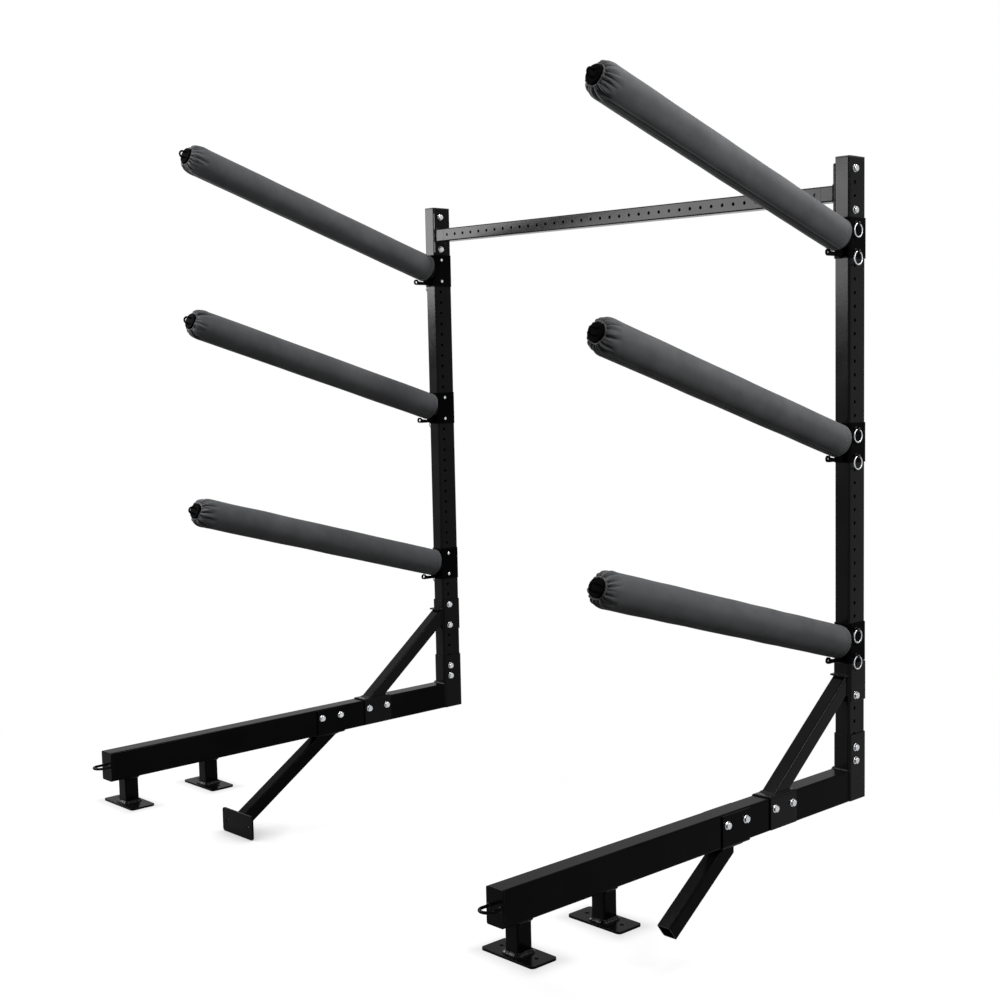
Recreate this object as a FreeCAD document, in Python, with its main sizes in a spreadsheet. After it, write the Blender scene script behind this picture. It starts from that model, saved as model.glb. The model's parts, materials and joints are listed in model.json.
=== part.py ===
# Dock kayak rack: two bolted steel frames, a punched crossbar and six padded arms on ring pins
import FreeCAD, Part
import math
import os
import Sketcher

V = FreeCAD.Vector
ALONG_X = V(1, 0, 0)
ALONG_Y = V(0, 1, 0)
ALONG_Z = V(0, 0, 1)

# Driving sizes in millimetres and degrees
SIZES = (
    ("frame_spacing", 1805, "between the centre planes of the two frames"),
    ("slip_fit", 0.3, "gap on each side of a piece that slides into another"),
    ("plate_length", 178, "base plate across the beam"),
    ("plate_width", 80, "base plate along the beam"),
    ("plate_thick", 6, "base plate steel"),
    ("plate_corner", 10, "base plate corner radius"),
    ("plate_hole_gap", 118, "between the two holes of a base plate"),
    ("plate_hole", 11, "base plate hole"),
    ("post_spacing", 282, "between the two posts of a frame"),
    ("post_size", 45, "square post tube"),
    ("post_wall", 3, "post wall"),
    ("post_corner", 5, "post corner radius"),
    ("post_height", 80, "post between plate and beam"),
    ("beam_overhang", 65.4, "beam in front of the dock-side post"),
    ("beam_length", 1327, "beam between its end plate and the socket"),
    ("beam_width", 58, "beam tube across"),
    ("beam_height", 90, "beam tube height"),
    ("beam_wall", 3, "beam wall"),
    ("beam_corner", 5, "beam corner radius"),
    ("beam_hole_drop", 30, "saddle bolts below the top of the beam"),
    ("end_plate_thick", 5, "plate on the dock end of the beam"),
    ("tie_rod", 8, "rod of the tie eye"),
    ("tie_bend", 20, "bend radius of the tie eye at the rod centre"),
    ("tie_leg", 20, "straight leg of the tie eye"),
    ("socket_wall", 3.2, "socket wall"),
    ("socket_height", 193, "socket sleeve"),
    ("upright_width", 50.8, "upright tube across"),
    ("upright_depth", 76.2, "upright tube along the beam"),
    ("upright_wall", 3, "upright wall"),
    ("upright_corner", 6, "upright corner radius"),
    ("upright_rise", 2, "foot of the upright above the socket's lower edge"),
    ("hole_pitch", 38.1, "between holes of the upright"),
    ("hole_size", 11, "hole of the upright"),
    ("hole_setback", 25.4, "hole row behind the front face of the upright"),
    ("hole_foot", 114.6, "lowest hole above the foot of the upright"),
    ("top_margin", 30, "upright above its top hole"),
    ("cap_head", 4, "head of the upright cap"),
    ("cap_plug", 14, "plug of the upright cap"),
    ("cap_wall", 2.5, "wall of the cap's plug"),
    ("brace_size", 45, "square brace tube"),
    ("brace_wall", 3, "brace wall"),
    ("brace_corner", 5, "brace corner radius"),
    ("saddle_thick", 4, "saddle steel"),
    ("saddle_length", 112, "saddle along its tube"),
    ("saddle_short", 3, "saddle ears end short of the far face"),
    ("upper_brace_angle", 39, "upper brace above the horizontal"),
    ("lip_rise", 25, "top of the lip over the upper brace above the middle of its saddle"),
    ("lip_width", 50, "lip across the upright"),
    ("lip_depth", 18, "lip in front of its saddle"),
    ("lip_thick", 5, "lip steel"),
    ("lower_angle_left", 33.9, "left lower brace below the horizontal"),
    ("lower_angle_right", 36.4, "right lower brace below the horizontal"),
    ("saddle_step", 201, "middle of the lower saddle in front of the middle of the upper one"),
    ("lower_brace_cut", 300, "right lower brace from the beam to its cut end"),
    ("side_plate_back", 100.4, "dock side plate behind the water-side post"),
    ("side_hole_gap", 122, "between the holes of the dock side plate"),
    ("bar_size", 45, "square crossbar tube"),
    ("bar_wall", 3, "crossbar wall"),
    ("bar_corner", 4, "crossbar corner radius"),
    ("bar_drop", 66, "crossbar centre below the top hole"),
    ("bar_hole", 10, "hole of the crossbar"),
    ("bar_pitch", 42.5, "between holes of the crossbar"),
    ("flange_thick", 5, "crossbar end flange"),
    ("flange_depth", 50, "crossbar end flange along the beam"),
    ("flange_margin", 17, "flange beyond its bolts"),
    ("flange_corner", 6, "flange corner radius"),
    ("stub_length", 44, "stub between flange and crossbar"),
    ("spigot_length", 60, "spigot inside the crossbar"),
    ("spigot_wall", 3, "spigot wall"),
    ("bolt_size", 10, "bolt shank"),
    ("bolt_hex", 17, "bolt head and nut across flats"),
    ("bolt_head", 6.4, "bolt head height"),
    ("bolt_nut", 8, "nut height"),
    ("bolt_tail", 3, "bolt end beyond the nut"),
    ("arm_tilt_top", 18.7, "top arms above the horizontal"),
    ("arm_tilt_middle", 17.4, "middle arms above the horizontal"),
    ("arm_tilt_bottom", 15.5, "bottom arms above the horizontal"),
    ("arm_tube", 48.3, "arm tube diameter"),
    ("arm_wall", 3, "arm tube wall"),
    ("arm_length", 1034, "arm tube from the upright's face to its end"),
    ("arm_plug", 5, "plug in the end of the arm tube"),
    ("eye_rod", 6, "rod of the arm-end eye"),
    ("eye_bend", 9.5, "bend radius of the arm-end eye at the rod centre"),
    ("eye_leg", 9, "straight leg of the arm-end eye"),
    ("bracket_thick", 3, "arm bracket steel"),
    ("bracket_reach", 73, "arm bracket walls behind its web"),
    ("bracket_margin", 18.3, "arm bracket beyond its pins"),
    ("gusset_thick", 6, "gusset steel"),
    ("lug_reach", 66, "lug hole in front of the upright"),
    ("lug_drop", 42, "lug hole below the middle of the bracket"),
    ("lug_radius", 9.5, "outer radius of the lug"),
    ("lug_hole", 10, "hole of the lug"),
    ("pad_size", 95, "padded cover diameter"),
    ("pad_start", 21, "padded cover begins in front of the upright"),
    ("pad_end", 1036, "padded cover ends in front of the upright"),
    ("pad_gather", 48, "length of the gathered end"),
    ("pad_mouth", 51, "opening of the gathered end"),
    ("pad_fabric", 1.6, "fabric of the cover"),
    ("pin_tip", 8, "pin tip beyond the bracket"),
    ("pin_collar", 14, "pin collar diameter"),
    ("pin_collar_thick", 2.5, "pin collar"),
    ("pin_head", 10, "pin head diameter"),
    ("pin_head_length", 12.5, "pin head beyond the collar"),
    ("pin_chamfer", 1.5, "chamfer on both ends of the pin"),
    ("ring_hole", 5.4, "cross hole of the pin for its ring"),
    ("ring_offset", 6.2, "cross hole beyond the collar"),
    ("ring_size", 40, "pull ring outside diameter"),
    ("ring_wire", 2.6, "pull ring wire"),
)

# Layout: hole numbers count from the top of the upright
HOLE_COUNT = 45
BAR_HOLE_COUNT = 41
SIDES = (("left", -1), ("right", 1))
PIN_STEP = 2
UPPER_PIN_HOLE = {
    ("left", "top"): 4, ("left", "middle"): 17, ("left", "bottom"): 32,
    ("right", "top"): 4, ("right", "middle"): 19, ("right", "bottom"): 34,
}
SOCKET_BOLT_HOLES = (43, 44)
SADDLE_MIDDLE_HOLE = 38
SADDLE_BOLT_HOLES = {"left": (37, 39), "right": (39,)}
FLANGE_BOLT_HOLES = (0, 3)

doc = FreeCAD.newDocument("dock_kayak_rack")
sheet = doc.addObject("Spreadsheet::Sheet", "Sizes")
for row, (name, value, note) in enumerate(SIZES, 1):
    sheet.set(f"A{row}", note)
    sheet.set(f"B{row}", str(value))
    sheet.setAlias(f"B{row}", name)
doc.recompute()


class Size:
    """A size as the formula that is bound to the sheet, with its present value."""

    def __init__(self, formula, value):
        self.formula = formula
        self.value = value

    def __add__(self, other):
        other = as_size(other)
        return Size(f"({self.formula} + {other.formula})", self.value + other.value)

    def __sub__(self, other):
        other = as_size(other)
        return Size(f"({self.formula} - {other.formula})", self.value - other.value)

    def __mul__(self, other):
        other = as_size(other)
        return Size(f"({self.formula} * {other.formula})", self.value * other.value)

    def __truediv__(self, other):
        other = as_size(other)
        return Size(f"({self.formula} / {other.formula})", self.value / other.value)

    def __radd__(self, other):
        return as_size(other) + self

    def __rsub__(self, other):
        return as_size(other) - self

    def __rmul__(self, other):
        return as_size(other) * self

    def __neg__(self):
        return self * -1


def as_size(item):
    return item if isinstance(item, Size) else Size(f"({item})", item)


def cosine(angle):
    return Size(f"cos({angle.formula})", math.cos(math.radians(angle.value)))


def sine(angle):
    return Size(f"sin({angle.formula})", math.sin(math.radians(angle.value)))


def tangent(angle):
    return Size(f"tan({angle.formula})", math.tan(math.radians(angle.value)))


class Sizes:
    """The sheet's sizes as attributes."""


d = Sizes()
for name, value, note in SIZES:
    setattr(d, name, Size(f"Sizes.{name}", value))


def bind(thing, prop, size):
    thing.setExpression(prop, as_size(size).formula)


def place(thing, x=0, y=0, z=0, axis=ALONG_Z, angle=0):
    """Put a piece in its place, with every part of the placement bound to the sheet."""
    spot = [as_size(item) for item in (x, y, z)]
    turn = FreeCAD.Rotation(axis, as_size(angle).value)
    thing.Placement = FreeCAD.Placement(V(*[item.value for item in spot]), turn)
    for letter, item in zip("xyz", spot):
        bind(thing, f"Placement.Base.{letter}", item)
    if isinstance(angle, Size):
        bind(thing, "Placement.Rotation.Angle", angle)


# Sketch helpers
def new_sketch(body, role):
    plane = [item for item in body.Origin.OriginFeatures if item.Role == role][0]
    sketch = body.newObject("Sketcher::SketchObject", body.Label + "_sketch")
    sketch.AttachmentSupport = [(plane, "")]
    sketch.MapMode = "FlatFace"
    return sketch


def tie(sketch, kind, *spots):
    sketch.addConstraint(Sketcher.Constraint(kind, *spots))


def fix(sketch, kind, spots, size):
    size = as_size(size)
    index = sketch.addConstraint(Sketcher.Constraint(kind, *spots, size.value))
    bind(sketch, f"Constraints[{index}]", size)


def fix_point(sketch, geometry, vertex, x, y):
    fix(sketch, "DistanceX", (-1, 1, geometry, vertex), x)
    fix(sketch, "DistanceY", (-1, 1, geometry, vertex), y)


def draw_circle(sketch, x, y, diameter):
    x, y, diameter = as_size(x), as_size(y), as_size(diameter)
    circle = Part.Circle(V(x.value, y.value, 0), ALONG_Z, diameter.value / 2)
    index = sketch.addGeometry(circle, False)
    fix(sketch, "Diameter", (index,), diameter)
    fix_point(sketch, index, 3, x, y)


def draw_polygon(sketch, points):
    points = [(as_size(x), as_size(y)) for x, y in points]
    corners = [V(x.value, y.value, 0) for x, y in points]
    sides = zip(corners, corners[1:] + corners[:1])
    lines = [sketch.addGeometry(Part.LineSegment(*side), False) for side in sides]
    for line, following in zip(lines, lines[1:] + lines[:1]):
        tie(sketch, "Coincident", line, 2, following, 1)
    for line, (x, y) in zip(lines, points):
        fix_point(sketch, line, 1, x, y)


def draw_rounded(sketch, width, depth, corner, x=0, y=0):
    """A rectangle with rounded corners around the point x, y."""
    width, depth, corner = as_size(width), as_size(depth), as_size(corner)
    left, low = x - width / 2, y - depth / 2
    x0, x1 = left.value, left.value + width.value
    y0, y1 = low.value, low.value + depth.value
    r = corner.value
    ends = (
        (V(x0 + r, y0, 0), V(x1 - r, y0, 0)), (V(x1, y0 + r, 0), V(x1, y1 - r, 0)),
        (V(x1 - r, y1, 0), V(x0 + r, y1, 0)), (V(x0, y1 - r, 0), V(x0, y0 + r, 0)),
    )
    centres = (V(x1 - r, y0 + r, 0), V(x1 - r, y1 - r, 0), V(x0 + r, y1 - r, 0), V(x0 + r, y0 + r, 0))
    lines = [sketch.addGeometry(Part.LineSegment(*pair), False) for pair in ends]
    arcs = []
    for step, centre in enumerate(centres):
        start = (step - 1) * math.pi / 2
        arc = Part.ArcOfCircle(Part.Circle(centre, ALONG_Z, r), start, start + math.pi / 2)
        arcs.append(sketch.addGeometry(arc, False))
    for step in range(4):
        tie(sketch, "Tangent", lines[step], 2, arcs[step], 1)
        tie(sketch, "Tangent", arcs[step], 2, lines[(step + 1) % 4], 1)
        tie(sketch, "Vertical" if step % 2 else "Horizontal", lines[step])
    for arc in arcs[1:]:
        tie(sketch, "Equal", arcs[0], arc)
    fix(sketch, "Radius", (arcs[0],), corner)
    fix(sketch, "DistanceX", (lines[3], 1, lines[1], 1), width)
    fix(sketch, "DistanceY", (lines[0], 1, lines[2], 1), depth)
    fix(sketch, "DistanceX", (-1, 1, lines[3], 1), left)
    fix(sketch, "DistanceY", (-1, 1, lines[0], 1), low)


# Solid helpers
def new_body(label):
    return doc.addObject("PartDesign::Body", label)


def pad(body, sketch, length, centred=False):
    solid = body.newObject("PartDesign::Pad", body.Label + "_pad")
    solid.Profile = sketch
    bind(solid, "Length", length)
    solid.SideType = "Symmetric" if centred else "One side"


def drill(body, role, spots, diameter):
    """Round holes straight through a body."""
    sketch = new_sketch(body, role)
    for x, y in spots:
        draw_circle(sketch, x, y, diameter)
    pocket = body.newObject("PartDesign::Pocket", body.Label + "_holes")
    pocket.Profile = sketch
    pocket.Type = "ThroughAll"
    pocket.SideType = "Symmetric"
    return pocket


def repeat(body, hole, count, pitch):
    """Repeat a hole along the body's own Z axis."""
    row = body.newObject("PartDesign::LinearPattern", body.Label + "_row")
    row.Originals = [hole]
    axis = [item for item in body.Origin.OriginFeatures if item.Role == "Z_Axis"][0]
    row.Direction = (axis, [""])
    bind(row, "Length", (count - 1) * pitch)
    row.Occurrences = count
    body.Tip = row


def revolve(body, sketch):
    solid = body.newObject("PartDesign::Revolution", body.Label + "_turned")
    solid.Profile = sketch
    solid.ReferenceAxis = (sketch, ["V_Axis"])
    solid.Angle = 360


def tube(label, width, depth, wall, corner, length):
    """Hollow section with rounded corners along its own Z axis."""
    body = new_body(label)
    sketch = new_sketch(body, "XY_Plane")
    draw_rounded(sketch, width, depth, corner)
    draw_rounded(sketch, width - 2 * wall, depth - 2 * wall, corner - wall)
    pad(body, sketch, length)
    return body


def channel(label, inside, reach, thick, corner, length):
    """Folded U section along its own Z axis, open to +Y, with the tips of its walls at Y zero."""
    body = new_body(label)
    sketch = new_sketch(body, "XY_Plane")
    draw_rounded(sketch, inside + 2 * thick, 2 * (reach + thick), corner + thick)
    draw_rounded(sketch, inside, 2 * reach, corner)
    pad(body, sketch, length)
    opening = new_sketch(body, "XY_Plane")
    half, far = inside, reach + 2 * thick
    draw_polygon(opening, ((-half, 0), (half, 0), (half, far), (-half, far)))
    pocket = body.newObject("PartDesign::Pocket", label + "_opening")
    pocket.Profile = opening
    pocket.Type = "ThroughAll"
    pocket.SideType = "Symmetric"
    return body


def plate(label, length, width, thick, corner, hole_gap, hole):
    """Flat plate with two holes on its centre line."""
    body = new_body(label)
    sketch = new_sketch(body, "XY_Plane")
    draw_rounded(sketch, length, width, corner)
    pad(body, sketch, thick)
    drill(body, "XY_Plane", ((-hole_gap / 2, 0), (hole_gap / 2, 0)), hole)
    return body


def cylinder(label, diameter, length):
    solid = doc.addObject("Part::Cylinder", label)
    bind(solid, "Radius", diameter / 2)
    bind(solid, "Height", length)
    return solid


def fuse(label, pieces):
    whole = doc.addObject("Part::MultiFuse", label)
    whole.Shapes = pieces
    return whole


def group(label, pieces):
    whole = doc.addObject("Part::Compound", label)
    whole.Links = pieces
    return whole


def half_loop(label, bend, rod, leg):
    """U of round rod: legs along +Z in the YZ plane, joined by a half ring."""
    bow = doc.addObject("Part::Torus", label + "_bow")
    bind(bow, "Radius1", bend)
    bind(bow, "Radius2", rod / 2)
    bow.Angle3 = 180
    place(bow, 0, 0, leg, V(1, 1, 1), 120)
    legs = []
    for name, way in (("a", -1), ("b", 1)):
        legs.append(cylinder(f"{label}_leg_{name}", rod, leg))
        place(legs[-1], 0, way * bend, 0)
    return [bow] + legs


def block(label, x, y, z, length, width, height):
    box = doc.addObject("Part::Box", label)
    for prop, size in (("Length", length), ("Width", width), ("Height", height)):
        bind(box, prop, size)
    place(box, x, y, z)
    return box


def keep_inside(label, base, box):
    common = doc.addObject("Part::Common", label)
    common.Base = base
    common.Tool = box
    return common


# Heights and depths that several pieces share
beam_bottom = d.plate_thick + d.post_height
beam_middle = beam_bottom + d.beam_height / 2
beam_top = beam_bottom + d.beam_height
beam_bolts = beam_top - d.beam_hole_drop
beam_start = -d.post_spacing / 2 - d.beam_overhang
socket_front = beam_start + d.beam_length
upright_front = socket_front + d.socket_wall + d.slip_fit
upright_foot = beam_bottom + d.upright_rise
upright_length = d.hole_foot + (HOLE_COUNT - 1) * d.hole_pitch + d.top_margin
hole_line = upright_front + d.hole_setback
socket_width = d.upright_width + 2 * (d.slip_fit + d.socket_wall)
socket_depth = d.upright_depth + 2 * (d.slip_fit + d.socket_wall)
bracket_half = d.upright_width / 2 + d.slip_fit + d.bracket_thick
nodes = []


def hole_height(number):
    return upright_foot + d.hole_foot + (HOLE_COUNT - 1 - number) * d.hole_pitch


def keep(piece):
    nodes.append(piece)
    return piece


# Welded base of one frame
def build_base(side, x):
    beam = tube(f"base_beam_{side}", d.beam_width, d.beam_height, d.beam_wall, d.beam_corner, d.beam_length)
    spots = []
    for saddle in (lower_saddle_y, upper_saddle_y):
        spots += [(d.beam_hole_drop - d.beam_height / 2, saddle - beam_start + way * d.hole_pitch)
                  for way in (-1, 1)]
    drill(beam, "YZ_Plane", spots, d.hole_size)
    place(keep(beam), x, beam_start, beam_middle, -ALONG_X, 90)

    end_plate = new_body(f"end_plate_{side}")
    sketch = new_sketch(end_plate, "XY_Plane")
    draw_rounded(sketch, d.beam_width, d.beam_height, d.beam_corner)
    pad(end_plate, sketch, d.end_plate_thick)
    loop = half_loop(f"tie_eye_{side}", d.tie_bend, d.tie_rod, d.tie_leg)
    eye = fuse(f"tie_loop_{side}", loop)
    place(eye, 0, 0, d.end_plate_thick, ALONG_Z, 90)
    closed = fuse(f"beam_end_eye_{side}", [end_plate, eye])
    place(keep(closed), x, beam_start, beam_middle, ALONG_X, 90)

    posts = []
    plates = []
    for spot, way in (("dock", -1), ("water", 1)):
        y = way * d.post_spacing / 2
        post = tube(f"post_{spot}_{side}", d.post_size, d.post_size, d.post_wall, d.post_corner, d.post_height)
        place(post, x, y, d.plate_thick)
        posts.append(post)
        foot = plate(f"base_plate_{spot}_{side}", d.plate_length, d.plate_width, d.plate_thick,
                     d.plate_corner, d.plate_hole_gap, d.plate_hole)
        place(foot, x, y, 0)
        plates.append(foot)
    keep(group(f"posts_{side}", posts))
    keep(group(f"base_plates_{side}", plates))

    socket = tube(f"socket_sleeve_{side}", socket_width, socket_depth, d.socket_wall,
                  d.upright_corner + d.slip_fit + d.socket_wall, d.socket_height)
    row = d.hole_setback - d.upright_depth / 2
    drill(socket, "YZ_Plane", [(row, hole_height(number) - beam_bottom) for number in SOCKET_BOLT_HOLES],
          d.hole_size)
    place(keep(socket), x, socket_front + socket_depth / 2, beam_bottom)


# Punched upright with its cap
def build_upright(side, x):
    upright = tube(f"upright_{side}", d.upright_width, d.upright_depth, d.upright_wall, d.upright_corner,
                   upright_length)
    hole = drill(upright, "YZ_Plane", [(d.hole_setback - d.upright_depth / 2, d.hole_foot)], d.hole_size)
    repeat(upright, hole, HOLE_COUNT, d.hole_pitch)
    middle = upright_front + d.upright_depth / 2
    place(keep(upright), x, middle, upright_foot)

    cap = new_body(f"upright_cap_{side}")
    sketch = new_sketch(cap, "XY_Plane")
    draw_rounded(sketch, d.upright_width, d.upright_depth, d.upright_corner)
    pad(cap, sketch, d.cap_head)
    inset = d.upright_wall + d.slip_fit
    plug = new_sketch(cap, "XY_Plane")
    for wall in (inset, inset + d.cap_wall):
        draw_rounded(plug, d.upright_width - 2 * wall, d.upright_depth - 2 * wall, d.upright_corner / 2 - d.slip_fit)
    pad(cap, plug, d.cap_plug)
    cap.Tip.Reversed = True
    place(keep(cap), x, middle, upright_foot + upright_length)


# Braces with the saddles welded to their ends
trim_reach = d.frame_spacing / 2
upper_saddle_y = upright_front - (hole_height(SADDLE_MIDDLE_HOLE) - beam_top) / tangent(d.upper_brace_angle)
lower_saddle_y = upper_saddle_y - d.saddle_step
side_plate_front = d.post_spacing / 2 + d.side_plate_back


def saddle(label, width, depth, corner, bolt_depth):
    body = channel(label, width + 2 * d.slip_fit, depth - d.saddle_short, d.saddle_thick,
                   corner + d.slip_fit, d.saddle_length)
    row = bolt_depth - (depth - d.saddle_short)
    spots = [(row, d.saddle_length / 2 + way * d.hole_pitch) for way in (-1, 1)]
    drill(body, "YZ_Plane", spots, d.hole_size)
    return body


def brace_tube(label, length):
    return tube(label, d.brace_size, d.brace_size, d.brace_wall, d.brace_corner, length)


def build_upper_brace(side, x):
    over = saddle(f"beam_saddle_{side}", d.beam_width, d.beam_height, d.beam_corner, d.beam_hole_drop)
    place(over, x, upper_saddle_y - d.saddle_length / 2, beam_top - d.beam_height + d.saddle_short,
          -ALONG_X, 90)
    upright_saddle = saddle(f"upright_saddle_{side}", d.upright_width, d.upright_depth, d.upright_corner,
                            d.hole_setback)
    middle = hole_height(SADDLE_MIDDLE_HOLE)
    place(upright_saddle, x, upright_front + d.upright_depth - d.saddle_short, middle - d.saddle_length / 2)

    angle = d.upper_brace_angle
    reach = (upright_front - upper_saddle_y) / cosine(angle)
    spare = 2 * d.brace_size
    stick = brace_tube(f"upper_stick_{side}", reach + 2 * spare)
    place(stick, x, upper_saddle_y - spare * cosine(angle), beam_top - spare * sine(angle),
          -ALONG_X, 90 - angle)
    weld_face = upright_front - d.saddle_thick / 2
    web_top = beam_top + d.saddle_thick / 2
    lip_bottom = middle + d.lip_rise - d.lip_thick
    box = block(f"upper_trim_{side}", x - d.brace_size, weld_face - trim_reach, web_top,
                2 * d.brace_size, trim_reach, lip_bottom - web_top)
    cut = keep_inside(f"upper_tube_{side}", stick, box)
    lip_reach = d.lip_depth + d.saddle_thick / 2
    lip = block(f"upper_lip_{side}", x - d.lip_width / 2, weld_face - lip_reach, lip_bottom,
                d.lip_width, lip_reach, d.lip_thick)
    keep(fuse(f"upper_brace_{side}", [cut, lip, over, upright_saddle]))


def build_lower_brace(side, x):
    under = saddle(f"lower_saddle_{side}", d.beam_width, d.beam_height, d.beam_corner,
                   d.beam_height - d.beam_hole_drop)
    place(under, x, lower_saddle_y + d.saddle_length / 2, beam_bottom + d.beam_height - d.saddle_short,
          ALONG_X, 90)
    angle = d.lower_angle_left if side == "left" else d.lower_angle_right
    spare = 2 * d.brace_size
    plate_back = side_plate_front + d.plate_thick
    if side == "left":
        reach = (lower_saddle_y - plate_back) / cosine(angle) + spare
        near_end = plate_back
    else:
        reach = d.lower_brace_cut
        near_end = lower_saddle_y - trim_reach
    stick = brace_tube(f"lower_stick_{side}", reach + spare)
    place(stick, x, lower_saddle_y + spare * cosine(angle), beam_bottom + spare * sine(angle),
          ALONG_X, 90 + angle)
    box = block(f"lower_trim_{side}", x - d.brace_size, near_end, beam_bottom - d.saddle_thick / 2 - trim_reach,
                2 * d.brace_size, trim_reach, trim_reach)
    cut = keep_inside(f"lower_tube_{side}", stick, box)
    keep(fuse(f"lower_brace_{side}", [cut, under]))
    if side == "left":
        face = plate(f"dock_side_plate_{side}", d.plate_length, d.plate_width, d.plate_thick,
                     d.plate_corner, d.side_hole_gap, d.plate_hole)
        middle = beam_bottom - (lower_saddle_y - plate_back) * tangent(angle)
        place(keep(face), x, plate_back, middle, ALONG_X, 90)


# Crossbar and its bolted end brackets
bar_half = d.frame_spacing / 2 - d.upright_width / 2 - d.flange_thick - d.stub_length
bar_height = hole_height(0) - d.bar_drop


def build_crossbar():
    bar = tube("crossbar", d.bar_size, d.bar_size, d.bar_wall, d.bar_corner, 2 * bar_half)
    first = bar_half - (BAR_HOLE_COUNT - 1) / 2 * d.bar_pitch
    hole = drill(bar, "XZ_Plane", [(0, first)], d.bar_hole)
    hole.SideType = "One side"
    hole.Reversed = True
    repeat(bar, hole, BAR_HOLE_COUNT, d.bar_pitch)
    place(keep(bar), -bar_half, hole_line, bar_height, ALONG_Y, 90)


def build_bar_bracket(side, way):
    body = new_body(f"crossbar_bracket_{side}")
    bolt_heights = [way * (hole_height(number) - bar_height) for number in FLANGE_BOLT_HOLES]
    middle = (bolt_heights[0] + bolt_heights[1]) / 2
    span = way * (bolt_heights[0] - bolt_heights[1])
    sketch = new_sketch(body, "XY_Plane")
    draw_rounded(sketch, span + 2 * d.flange_margin, d.flange_depth, d.flange_corner, middle, 0)
    pad(body, sketch, d.flange_thick)
    drill(body, "XY_Plane", [(height, 0) for height in bolt_heights], d.hole_size)
    stub = new_sketch(body, "XY_Plane")
    draw_rounded(stub, d.bar_size, d.bar_size, d.bar_corner)
    inner = d.bar_size - 2 * (d.bar_wall + d.slip_fit + d.spigot_wall)
    draw_rounded(stub, inner, inner, d.bar_corner / 4)
    pad(body, stub, d.flange_thick + d.stub_length)
    spigot = new_sketch(body, "XY_Plane")
    outer = d.bar_size - 2 * (d.bar_wall + d.slip_fit)
    draw_rounded(spigot, outer, outer, d.bar_corner / 2)
    draw_rounded(spigot, inner, inner, d.bar_corner / 4)
    pad(body, spigot, d.flange_thick + d.stub_length + d.spigot_length)
    x = way * (d.frame_spacing - d.upright_width) / 2
    place(keep(body), x, hole_line, bar_height, ALONG_Y * -way, 90)


# Through bolts
def bolt(label, grip, x, y, z):
    """Hex bolt and nut across a joint: the nut's face is at x, the head's face one grip further."""
    corner = d.bolt_hex / 2 / math.cos(math.pi / 6)
    shank = cylinder(label + "_shank", d.bolt_size, d.bolt_tail + d.bolt_nut + grip)
    place(shank, 0, 0, -d.bolt_tail - d.bolt_nut)
    parts = [shank]
    for name, start, height in (("nut", -d.bolt_nut, d.bolt_nut), ("head", grip, d.bolt_head)):
        hexagon = doc.addObject("Part::Prism", f"{label}_{name}")
        hexagon.Polygon = 6
        bind(hexagon, "Circumradius", corner)
        bind(hexagon, "Height", height)
        place(hexagon, 0, 0, start)
        parts.append(hexagon)
    whole = fuse(label, parts)
    place(whole, x, y, z, ALONG_Y, 90)
    return whole


def build_bolts(side, way, x):
    spots = []
    half = socket_width / 2
    spots += [(2 * half, x - half, hole_line, hole_height(number)) for number in SOCKET_BOLT_HOLES]
    half = d.upright_width / 2 + d.slip_fit + d.saddle_thick
    spots += [(2 * half, x - half, hole_line, hole_height(number)) for number in SADDLE_BOLT_HOLES[side]]
    half = d.beam_width / 2 + d.slip_fit + d.saddle_thick
    for middle in (lower_saddle_y, upper_saddle_y):
        spots += [(2 * half, x - half, middle + step * d.hole_pitch, beam_bolts) for step in (-1, 1)]
    grip = d.upright_width + d.flange_thick
    start = x - d.upright_width / 2 - (d.flange_thick if way > 0 else 0)
    spots += [(grip, start, hole_line, hole_height(number)) for number in FLANGE_BOLT_HOLES]
    keep(group(f"bolts_{side}", [bolt(f"bolt_{side}_{step}", *spot) for step, spot in enumerate(spots)]))


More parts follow.
